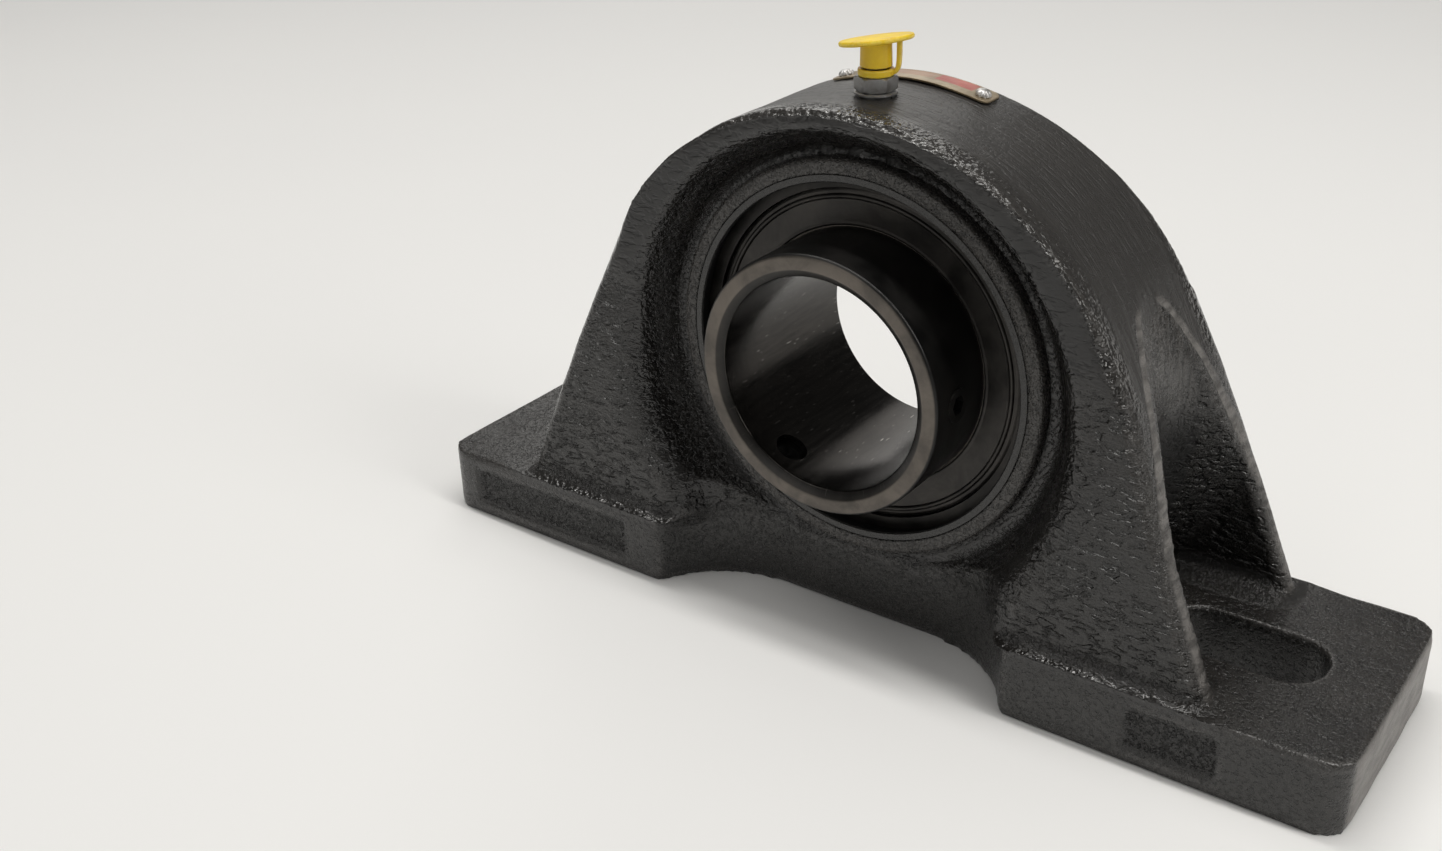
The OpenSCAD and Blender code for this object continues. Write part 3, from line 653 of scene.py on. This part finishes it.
def castPaint():
    material, tree, shader = newFinish("blackCastPaint")
    flatSkin = useGroup(tree, castSkin, Vector=mapped(tree, (0.42, 0.8, 1.0)), Size=500.0)
    evenSkin = useGroup(tree, castSkin, Vector=mapped(tree), Size=760.0)
    gritSkin = useGroup(tree, castSkin, Vector=mapped(tree), Size=1150.0)
    front, valley, archBack = mask(tree, "front"), mask(tree, "valley"), mask(tree, "archBack")
    pocketTop, pocketLow, crease = mask(tree, "pocketTop"), mask(tree, "pocketLow"), mask(tree, "crease")
    footEnd, panel, turned = mask(tree, "footEnd"), mask(tree, "panel"), mask(tree, "turned")
    edge, grit, crust = mask(tree, "edge"), mask(tree, "grit"), mask(tree, "crust")
    mouth, calmShadedBand = mask(tree, "mouth"), mask(tree, "calmShadedBand")
    beside = useGroup(tree, groundStrip).outputs
    ground = times(tree, mask(tree, "back"), beside["Mask"])
    pocketTop = larger(tree, pocketTop, times(tree, mask(tree, "nose"), beside["Inside"]))
    archBack = times(tree, archBack, sums(tree, "SUBTRACT", 1.0, pocketTop, True))
    hatch = grain(tree, mapped(tree, (95, 560, 40), turn=(0, 0, 0.5)), 1.0, 3.0, 0.6, 0.3)
    streak = grain(tree, mapped(tree, (700, 700, 45)), 1.0, 3.0, 0.6)
    notch = grain(tree, mapped(tree, (160, 120, 420)), 1.0, 3.0, 0.55)
    cloud = grain(tree, mapped(tree), 55.0, 5.0, 0.6)
    speck = grain(tree, mapped(tree), 1500.0, 2.0, 0.6)
    bead = grain(tree, mapped(tree), 640.0, 1.0, 0.4)

    colour = blendColour(tree, spread(tree, cloud), grey(0.010, 0.08), grey(0.016, 0.09))
    colour = blendColour(tree, times(tree, archBack, 0.8), colour, grey(0.030, 0.06))
    colour = blendColour(tree, times(tree, crust, 0.85), colour, grey(0.042, 0.09))
    # Painted shade in the skin's pits: the cast skin's pits are darkened towards near black
    pits = blendValue(tree, front, evenSkin.outputs["Pits"], flatSkin.outputs["Pits"])
    most = sums(tree, "SUBTRACT", 0.7, times(tree, archBack, 0.5))
    pitShade = times(tree, sums(tree, "SUBTRACT", 1.0, pits, True), most)
    colour = blendColour(tree, pitShade, colour, grey(0.004, 0.05))
    worn = useGroup(tree, edgeWear, Edge=edge, Amount=0.45, Size=420.0).outputs["Mask"]
    colour = blendColour(tree, times(tree, worn, 0.3), colour, grey(0.07, 0.06))
    bare = blendColour(tree, spread(tree, notch, 0.35, 0.65), grey(0.05, 0.07), grey(0.15, 0.06))
    colour = blendColour(tree, ground, colour, bare)
    filed = blendColour(tree, spread(tree, notch), grey(0.12, 0.06), grey(0.20, 0.06))
    colour = blendColour(tree, footEnd, colour, filed)
    # Pocket top: its own vertical streaks, with painted light making the pocket's upper part and tongue lighter
    litStreakedPocket = blendColour(tree, spread(tree, streak, 0.35, 0.65), grey(0.014, 0.07), grey(0.045, 0.07))
    colour = blendColour(tree, pocketTop, colour, litStreakedPocket)
    # Painted shade darkens the pocket's lower part; the sunk panels get half of it as their own darker tone
    pocketShadeAndPanelTone = larger(tree, times(tree, pocketLow, 0.95), times(tree, panel, 0.5))
    colour = blendColour(tree, pocketShadeAndPanelTone, colour, grey(0.003, 0.05))
    # Painted shade: the smooth front band under the dome's edge is darkened, as if it reflected dark surroundings
    colour = blendColour(tree, times(tree, calmShadedBand, 0.6), colour, grey(0.004, 0.05))
    # Painted shade inside the lip's mouth, below the turned face, where the seat lies behind the insert
    colour = blendColour(tree, mouth, colour, grey(0.0015, 0.05))
    powder = useGroup(tree, dust, Amount=0.16).outputs["Mask"]
    colour = blendColour(tree, powder, colour, grey(0.06, 0.1))

    rough = blendValue(tree, spread(tree, speck), 0.20, 0.32)
    rough = blendValue(tree, archBack, rough, 0.38)
    rough = blendValue(tree, larger(tree, ground, footEnd), rough, 0.5)
    rough = blendValue(tree, crease, rough, 0.13)
    rough = blendValue(tree, calmShadedBand, rough, 0.42)
    rough = blendValue(tree, larger(tree, mouth, pocketLow), rough, 0.75)
    rough = blendValue(tree, grit, rough, 0.07)

    gritty = larger(tree, larger(tree, times(tree, crust, 0.55), panel), crease)
    skin = blendValue(tree, front, evenSkin.outputs["Height"], flatSkin.outputs["Height"])
    skin = blendValue(tree, gritty, skin, gritSkin.outputs["Height"])
    deep = larger(tree, sums(tree, "ADD", 0.4, times(tree, front, 0.9)), gritty)
    quiet = times(tree, larger(tree, archBack, footEnd), 0.65)
    quiet = larger(tree, quiet, times(tree, larger(tree, valley, pocketTop), 0.6))
    quiet = larger(tree, quiet, times(tree, calmShadedBand, 0.7))
    quiet = larger(tree, quiet, times(tree, turned, 0.92))
    quiet = larger(tree, quiet, times(tree, grit, 0.93))
    deep = times(tree, deep, sums(tree, "SUBTRACT", 1.0, quiet, True))
    height = times(tree, skin, deep)
    for pattern, where, amount in ((hatch, archBack, 1.0), (streak, pocketTop, 0.8), (notch, ground, 1.2),
                                   (bead, grit, 1.45)):
        height = sums(tree, "ADD", height, times(tree, times(tree, pattern, where), amount))
    wire(tree, shader, Base_Color=colour, Roughness=rough, Specular_IOR_Level=0.65,
         Normal=bump(tree, height, 0.0006, 1.0))
    return material


blackPaint = castPaint()
housing = buildHousing()
dress(housing, blackPaint)
for lipName, lipFacing in (("frontHubLip", 1), ("rearHubLip", -1)):
    dress(buildLip(lipName, lipFacing), blackPaint)
print("housing", len(housing.data.polygons))

ringSizes = {
    "bore": 30.955, "outer": 37.75, "front": 38.4, "rear": -22.6,
    "boreChamfer": 2.5, "raceR": 8.255, "raceCentre": 42.79, "screwR": 4.75,
    "screwY": 27.6, "screwAngles": (1.0, -119.0),
}


def aboutShaft(profile, segments=192, closed=True):
    return lathe(profile, block["shaft"], -yAxis, xAxis, segments, closed=closed)


# Inner ring: a closed profile turned about the shaft, then the two screw holes are cut through its wall
def buildInnerRing():
    s = ringSizes
    c = s["boreChamfer"]
    raceHalf = np.sqrt(s["raceR"] ** 2 - (s["raceCentre"] - s["outer"]) ** 2)
    a = np.linspace(raceHalf, -raceHalf, 17)
    race = np.stack([s["raceCentre"] - np.sqrt(s["raceR"] ** 2 - a ** 2), a], -1)
    profile = np.vstack([
        [[s["bore"], 0], [s["bore"], s["front"] - 0.7 * c], [s["bore"] + c, s["front"]],
         [s["outer"] - 0.8, s["front"]], [s["outer"], s["front"] - 0.8]],
        [[s["outer"], s["screwY"] + 5.5], [s["outer"], s["screwY"] - 5.5]], race,
        [[s["outer"], s["rear"] + 0.8], [s["outer"] - 0.8, s["rear"]], [s["bore"] + c, s["rear"]],
         [s["bore"], s["rear"] + 0.7 * c], [s["bore"], -0.001]]])
    profile = softCorners(profile, 0.45)
    ring = bpy.data.objects.new("ringBlank", shellMesh("innerRing", [aboutShaft(profile, 224)]))
    scene.collection.objects.link(ring)
    cutters = []
    for angle in np.radians(s["screwAngles"]):
        out = np.cos(angle) * xAxis + np.sin(angle) * zAxis
        drill = lathe([[0, 20], [s["screwR"], 20], [s["screwR"], 45], [0, 45]],
                      block["shaft"] - s["screwY"] * yAxis, out, yAxis, 64)
        cutter = bpy.data.objects.new("drill", shellMesh("drill", [drill]))
        scene.collection.objects.link(cutter)
        cut = ring.modifiers.new("hole", "BOOLEAN")
        cut.operation, cut.solver, cut.object = "DIFFERENCE", "EXACT", cutter
        cutters.append(cutter)
    settle(ring)
    for cutter in cutters:
        bpy.data.objects.remove(cutter)
    mesh = ring.data
    mesh.name = "innerRing"
    bpy.data.objects.remove(ring)
    points = meshArrays(mesh)[0]
    r = np.hypot(points[:, 0], points[:, 2] - block["shaft"][2])
    setMask(mesh, "bore", ramp01(r, s["bore"] + 0.5, s["bore"] + 0.15))
    setMask(mesh, "face", np.maximum(ramp01(points[:, 1], -s["front"] + 0.35, -s["front"] + 0.05),
                                     ramp01(points[:, 1], -s["rear"] - 0.35, -s["rear"] - 0.05)))
    return newPiece("innerRing", mesh, "spindle", ["inner_ring"], 32)


# Seal shield: a thin dished ring with a rolled bead near its rim and curled edges, as one closed profile
shieldSizes = {"bore": 38.25, "rim": 48.95, "low": 13.4, "sheet": 0.8, "beadAt": 46.5, "beadR": 0.75}


def buildShield(name, facing):
    s = shieldSizes
    top = s["low"] + s["sheet"]
    a = np.linspace(np.pi, 0, 13)
    bead = np.stack([s["beadAt"] + s["beadR"] * np.cos(a), top + s["beadR"] * np.sin(a)], -1)
    profile = np.vstack([
        [[s["bore"], s["low"]], [s["bore"], top - 0.1], [s["bore"] + 0.5, top + 0.12],
         [s["bore"] + 1.2, top - 0.04], [s["beadAt"] - 1.2, top]], bead,
        [[s["rim"] - 0.9, top], [s["rim"], top - 0.45], [s["rim"], s["low"]]]])
    profile = softCorners(profile, 0.22, 4)
    profile[:, 1] *= facing
    mesh = shellMesh(name, [aboutShaft(profile, 192)])
    return newPiece(name, mesh, "insert",
                    ["front_seal_shield" if facing > 0 else "rear_seal_shield"], 40)


def ringSteel():
    material, tree, shader = newFinish("blackenedRing")
    turned = useGroup(tree, turnedSteel, Lines=5200.0)
    bore, face = mask(tree, "bore"), mask(tree, "face")
    place = mapped(tree, move=tuple(-block["shaft"] * mm))
    parts = put(tree, "ShaderNodeSeparateXYZ", None, Vector=place)
    angle = sums(tree, "ARCTAN2", parts.outputs["Z"], parts.outputs["X"])
    axial = put(tree, "ShaderNodeCombineXYZ", None, X=angle, Y=times(tree, parts.outputs["Y"], 3.0),
                Z=0.0).outputs[0]
    streak = grain(tree, axial, 22.0, 4.0, 0.6)
    scratch = grain(tree, axial, 75.0, 1.0, 0.4)
    stain = turned.outputs["Stain"]
    black = blendColour(tree, spread(tree, stain, 0.35, 0.7), grey(0.003), grey(0.009, 0.08))
    brown = blendColour(tree, spread(tree, stain), grey(0.075, 0.10), grey(0.14, 0.13))
    steel = blendColour(tree, spread(tree, streak), grey(0.024, 0.08), grey(0.042, 0.09))
    steel = blendColour(tree, spread(tree, scratch, 0.72, 0.75), steel, grey(0.26, 0.05))
    colour = blendColour(tree, face, black, brown)
    colour = blendColour(tree, bore, colour, steel)
    shine = larger(tree, bore, face)
    rough = blendValue(tree, spread(tree, stain), 0.30, 0.42)
    rough = blendValue(tree, bore, rough, blendValue(tree, spread(tree, streak), 0.16, 0.24))
    wire(tree, shader, Base_Color=colour, Roughness=rough, Metallic=blendValue(tree, shine, 0.35, 0.9),
         Normal=bump(tree, turned.outputs["Height"], 0.00004, 0.5))
    return material


def turnedFinish(name, dark, light, metal, rough, lines=4200.0, depth=0.00003):
    material, tree, shader = newFinish(name)
    turned = useGroup(tree, turnedSteel, Lines=lines)
    stain = turned.outputs["Stain"]
    wire(tree, shader, Base_Color=blendColour(tree, spread(tree, stain, 0.3, 0.72), dark, light), Metallic=metal,
         Roughness=blendValue(tree, spread(tree, stain), rough[0], rough[1]),
         Normal=bump(tree, turned.outputs["Height"], depth, 0.5))
    return material


innerRing = buildInnerRing()
dress(innerRing, ringSteel())
shieldSteel = turnedFinish("darkShieldSteel", grey(0.028, 0.06), grey(0.055, 0.08), 0.75, (0.30, 0.42))
frontShield, rearShield = buildShield("frontShield", 1), buildShield("rearShield", -1)
dress(frontShield, shieldSteel)
dress(rearShield, shieldSteel)
print("insert ready")

fittingSizes = {"flats": 10.0, "flange": 5.75, "hexLow": 1.5, "hexHigh": 5.2, "neck": 2.6, "head": 3.25}


# Fitting: a lathe whose hexagon's radius is the lesser of the flat's and of the two corner chamfers' cones
def buildFitting():
    s = fittingSizes
    corner = s["flats"] / np.sqrt(3)

    def hexRadius(angle, r, h):
        flat = s["flats"] / 2 / np.cos((angle + np.pi / 6) % (np.pi / 3) - np.pi / 6)
        nearEnd = np.minimum(h - s["hexLow"], s["hexHigh"] - h)
        cone = s["flats"] / 2 + 0.15 + np.maximum(nearEnd, 0) * 1.7
        onHex = (h >= s["hexLow"]) & (h <= s["hexHigh"]) & (r > 4.6)
        return np.where(onHex, np.minimum(np.minimum(flat, cone), corner), r)

    hexRows = np.linspace(s["hexLow"], s["hexHigh"], 15)
    profile = np.vstack([
        [[0, -9], [3.6, -9], [4, -8.4], [4, 0.4], [5.4, 0.4], [s["flange"], 0.62], [s["flange"], 1.05],
         [5.4, 1.25], [4.7, 1.3]],
        np.stack([np.full(15, 5.0), hexRows], -1),
        [[4.4, s["hexHigh"] + 0.05], [s["neck"] + 0.2, 5.35], [s["neck"], 5.7], [s["neck"], 7.6], [2.9, 8.0],
         [s["head"], 8.5], [s["head"], 10.1], [3.0, 10.6], [2.0, 12.1], [1.3, 12.2], [1.05, 11.8], [1.0, 10.4],
         [0, 10.4]]])
    mesh = shellMesh("greaseFitting", [lathe(profile, fittingAt, zAxis, xAxis, 144, hexRadius)])
    return newPiece("greaseFitting", mesh, "block", ["grease_fitting"], 28)


def zincSteel(name="dullZinc", tint=0.0, base=0.37):
    material, tree, shader = newFinish(name)
    cloud = grain(tree, mapped(tree), 260.0, 5.0, 0.6)
    speck = grain(tree, mapped(tree), 2600.0, 2.0, 0.5)
    colour = blendColour(tree, spread(tree, cloud), grey(base * 0.55, tint + 0.05), grey(base, tint))
    powder = useGroup(tree, dust, Amount=0.35).outputs["Mask"]
    colour = blendColour(tree, powder, colour, grey(0.20, 0.1))
    wire(tree, shader, Base_Color=colour, Metallic=0.85,
         Roughness=blendValue(tree, spread(tree, cloud), 0.34, 0.52),
         Normal=bump(tree, speck, 0.00003, 0.5))
    return material


dullZinc = zincSteel()
fitting = buildFitting()
dress(fitting, dullZinc)

capSizes = {
    "bore": 3.55, "neckR": 4.8, "neckLow": 5.3, "neckHigh": 7.2, "cupR": 4.15, "cupLow": 7.6, "cupHigh": 14.0,
    "boreTop": 12.7, "discR": 9.9, "discAt": 14.3, "discHalf": 0.8, "lean": (-4, -10), "strapTurn": 20.0,
    "voxel": 0.2, "passes": 4,
}


# Cap: three lathes (neck ring, cup, leaning disc) and a strap swept along a bent path, fused into one moulding
def buildCap():
    s = capSizes
    neck = softCorners([[s["bore"], s["neckLow"] + 0.2], [s["bore"], s["neckLow"]], [s["neckR"], s["neckLow"]],
                        [s["neckR"], s["neckHigh"]], [s["bore"], s["neckHigh"]], [s["bore"], s["neckLow"] + 0.21]],
                       0.45)
    cup = softCorners([[0, s["boreTop"]], [s["bore"], s["boreTop"]], [s["bore"], s["cupLow"]],
                       [s["cupR"] + 0.1, s["cupLow"]], [s["cupR"] - 0.05, s["cupHigh"]], [0, s["cupHigh"]]], 0.3)
    half, rim = s["discHalf"], s["discR"]
    disc = softCorners([[0, -half + 0.1], [rim - 1.2, -half], [rim - 0.2, -half + 0.25], [rim, 0.1],
                        [rim - 0.35, half - 0.1], [rim - 1.6, half], [rim - 3.2, half - 0.15],
                        [4.0, half + 0.05], [0, half + 0.35]], 0.7, 6)
    leanX, leanY = np.radians(s["lean"])
    tilt = np.array(Matrix.Rotation(leanX, 3, "X"))
    tilt = np.array(Matrix.Rotation(leanY, 3, "Y")) @ tilt
    out = np.array([np.cos(np.radians(s["strapTurn"])), np.sin(np.radians(s["strapTurn"])), 0])
    across = np.cross(zAxis, out)
    t = np.linspace(0, 1, 30)[:, None]
    corners = np.array([[4.1, 6.2], [6.3, 6.2], [6.05, 8.2], [6.1, 14.2]])
    bent = ((1 - t) ** 3 * corners[0] + 3 * t * (1 - t) ** 2 * corners[1] + 3 * t ** 2 * (1 - t) * corners[2]
            + t ** 3 * corners[3])
    path = fittingAt + bent[:, :1] * out + bent[:, 1:] * zAxis
    shells = [lathe(neck, fittingAt, zAxis, xAxis, 96), lathe(cup, fittingAt, zAxis, xAxis, 96),
              lathe(disc, fittingAt + s["discAt"] * zAxis, tilt @ zAxis, tilt @ xAxis, 128),
              sweep(path, pillowSection(1.3, 0.62), across)]
    mesh = remeshed("greaseCap", shellMesh("greaseCapShells", shells), s["voxel"], s["passes"])
    points, normals = meshArrays(mesh)
    pairs = edgePairs(mesh)
    hollow = np.einsum("ij,ij->i", neighbourMean(points, pairs) - points, normals)
    setMask(mesh, "edge", ramp01(-neighbourMean(hollow[:, None], pairs)[:, 0], 0.002, 0.012))
    return newPiece("greaseCap", mesh, "cap", ["grease_cap"])


def yellowPlastic():
    material, tree, shader = newFinish("yellowPlastic")
    cloud = grain(tree, mapped(tree), 180.0, 4.0, 0.6)
    skin = grain(tree, mapped(tree), 2200.0, 2.0, 0.5)
    colour = blendColour(tree, spread(tree, cloud, 0.3, 0.75), (0.76, 0.50, 0.008, 1), (0.92, 0.68, 0.020, 1))
    worn = useGroup(tree, edgeWear, Edge=mask(tree, "edge"), Amount=0.4, Size=500.0).outputs["Mask"]
    colour = blendColour(tree, times(tree, worn, 0.35), colour, (0.9, 0.75, 0.2, 1))
    wire(tree, shader, Base_Color=colour, Roughness=blendValue(tree, spread(tree, cloud), 0.36, 0.48),
         Subsurface_Weight=0.12, Subsurface_Radius=(0.001, 0.0006, 0.0002),
         Normal=bump(tree, skin, 0.00004, 0.4))
    return material


cap = buildCap()
dress(cap, yellowPlastic())
print("fitting and cap ready", len(cap.data.polygons))

plateSizes = {
    "halfLength": 24.2, "halfWidth": 4.5, "corner": 2.4, "middleY": 11.0, "thick": 0.55, "lift": 0.4,
    "screwAt": 21.0, "screwY": 10.5, "headR": 2.2, "headHigh": 1.45, "field": (6.5, 18.0), "fieldV": -0.2,
}


# Plate: x and y fill a rounded rectangle, and the height follows the arch, a little proud between the screws
def buildPlate():
    s = plateSizes
    u = np.linspace(-1, 1, 121)[:, None]
    v = np.linspace(-1, 1, 41)[None, :]
    acrossY = s["halfWidth"] * v
    over = np.maximum(np.abs(acrossY) - (s["halfWidth"] - s["corner"]), 0)
    reach = s["halfLength"] - s["corner"] + np.sqrt(np.maximum(s["corner"] ** 2 - over ** 2, 0))
    px = u * reach
    py = s["middleY"] + acrossY + 0 * u
    buckle = 0.35 * np.cos(np.clip(px / s["screwAt"], -1, 1) * np.pi / 2) ** 2 * (0.6 - 0.4 * v)
    radius = block["archR"] + s["lift"] + buckle
    pz = block["archZ"] + np.sqrt(radius ** 2 - px ** 2)
    mesh = shellMesh("nameplate", [(np.stack([px, py, pz], -1), gridQuads(121, 41))])
    bm = bmesh.new()
    bm.from_mesh(mesh)
    if sum(face.normal.z for face in bm.faces) < 0:
        bmesh.ops.reverse_faces(bm, faces=bm.faces)
    bm.to_mesh(mesh)
    bm.free()
    points = meshArrays(mesh)[0]
    share = (points[:, 1] - s["middleY"]) / s["halfWidth"]
    left, right = s["field"]
    px = points[:, 0]
    rows = ramp01(share, s["fieldV"] - 0.04, s["fieldV"] + 0.04) * ramp01(share, 0.92, 0.86)
    setMask(mesh, "field", rows * ramp01(px, left - 0.2, left + 0.2) * ramp01(px, right + 0.2, right - 0.2))
    setMask(mesh, "blush", rows * ramp01(px, -right - 0.2, -right + 0.2) * ramp01(px, left, left - 2))
    piece = newPiece("namePlate", mesh, "block", ["nameplate"])
    wall = piece.modifiers.new("sheet", "SOLIDIFY")
    wall.thickness, wall.offset = s["thick"] * mm, 1.0
    edge = piece.modifiers.new("edge", "BEVEL")
    edge.width, edge.segments, edge.limit_method = 0.00012, 2, "ANGLE"
    return piece


def plateMetal():
    material, tree, shader = newFinish("tintedPlate")
    brushed = grain(tree, mapped(tree, (25, 2200, 2200)), 1.0, 3.0, 0.6)
    cloud = grain(tree, mapped(tree), 130.0, 5.0, 0.6)
    field = mask(tree, "field")
    gold = blendColour(tree, spread(tree, cloud), (0.24, 0.19, 0.12, 1), (0.42, 0.34, 0.23, 1))
    gold = blendColour(tree, times(tree, mask(tree, "blush"), 0.45), gold, (0.36, 0.16, 0.11, 1))
    red = blendColour(tree, spread(tree, cloud), (0.30, 0.055, 0.040, 1), (0.42, 0.110, 0.080, 1))
    colour = blendColour(tree, field, gold, red)
    wire(tree, shader, Base_Color=colour, Metallic=blendValue(tree, field, 0.8, 0.25),
         Roughness=blendValue(tree, spread(tree, brushed), 0.32, 0.45),
         Normal=bump(tree, brushed, 0.00002, 0.4))
    return material


# Drive screw: a shank and a domed head whose rim is fluted, radius = R (1 - depth cos^8 of four times the angle)
def buildDriveScrew(side):
    s = plateSizes
    lean = side * np.arcsin(s["screwAt"] / block["archR"])
    out = np.array([np.sin(lean), 0, np.cos(lean)])
    centre = np.array([0, s["screwY"], block["archZ"]]) + out * block["archR"]
    headR = s["headR"]
    a = np.linspace(0, np.pi / 2, 16)
    dome = np.stack([headR * np.cos(a), 1.25 + s["headHigh"] * np.sin(a)], -1)
    shank = [[0, -5.8], [0.9, -5.8], [1.3, -5.2], [1.3, 0.95], [headR - 0.15, 0.95], [headR, 1.1]]
    profile = np.vstack([shank, dome])

    def flutes(angle, r, h):
        bite = 0.16 * np.cos(4 * angle) ** 8 * np.clip((r - 0.5) / 1.2, 0, 1)
        return np.where(h > 0.96, r * (1 - bite), r)

    which = "left" if side < 0 else "right"
    mesh = shellMesh(which + "DriveScrew", [lathe(profile, centre, out, yAxis, 96, flutes)])
    return newPiece(which + "DriveScrew", mesh, "block", [which + "_drive_screw"], 50)


plate = buildPlate()
dress(plate, plateMetal())
brightZinc = zincSteel("brightZinc", 0.0, 0.72)
leftScrew, rightScrew = buildDriveScrew(-1), buildDriveScrew(1)
dress(leftScrew, brightZinc)
dress(rightScrew, brightZinc)
print("plate ready")


def feltFinish():
    material, tree, shader = newFinish("pressedFelt")
    fibre = grain(tree, mapped(tree), 900.0, 5.0, 0.7, 1.5)
    colour = blendColour(tree, spread(tree, fibre), grey(0.16, 0.1), grey(0.34, 0.12))
    wire(tree, shader, Base_Color=colour, Roughness=0.95, Sheen_Weight=0.3, Normal=bump(tree, fibre, 0.0002, 0.8))
    return material


solidFinishes = {
    "bearingSteel": (turnedFinish("bearingSteel", grey(0.10, 0.04), grey(0.19, 0.05), 0.9, (0.26, 0.38)),
                     ["balls", "fitting_check_ball"]),
    "darkRing": (turnedFinish("darkOuterRing", grey(0.018, 0.05), grey(0.04, 0.07), 0.8, (0.34, 0.46)),
                 ["outer_ring"]),
    "brass": (turnedFinish("brassCage", (0.38, 0.22, 0.06, 1), (0.60, 0.38, 0.13, 1), 0.95, (0.28, 0.42)), ["cage"]),
    "felt": (feltFinish(), ["front_felt_seal", "rear_felt_seal"]),
    "retainer": (turnedFinish("retainerSteel", grey(0.12, 0.03), grey(0.25, 0.04), 0.9, (0.3, 0.45)),
                 ["front_seal_retainer", "rear_seal_retainer"]),
    "oxide": (turnedFinish("oxideScrew", grey(0.010), grey(0.03, 0.06), 0.7, (0.28, 0.45)),
              ["right_set_screw", "lower_set_screw"]),
    "wire": (turnedFinish("springSteel", grey(0.2), grey(0.36, 0.03), 0.95, (0.2, 0.34)),
             ["lock_pin", "fitting_spring"]),
}
for finish, names in solidFinishes.values():
    for nodeName in names:
        dress(nodes[nodeName], finish)
replaced = {"housing": housing, "inner_ring": innerRing, "front_seal_shield": frontShield,
            "rear_seal_shield": rearShield, "grease_fitting": fitting, "grease_cap": cap, "nameplate": plate,
            "left_drive_screw": leftScrew, "right_drive_screw": rightScrew}
for nodeName, piece in replaced.items():  # the solids behind the new pieces carry their finishes too
    dress(nodes[nodeName], piece.data.materials[0])
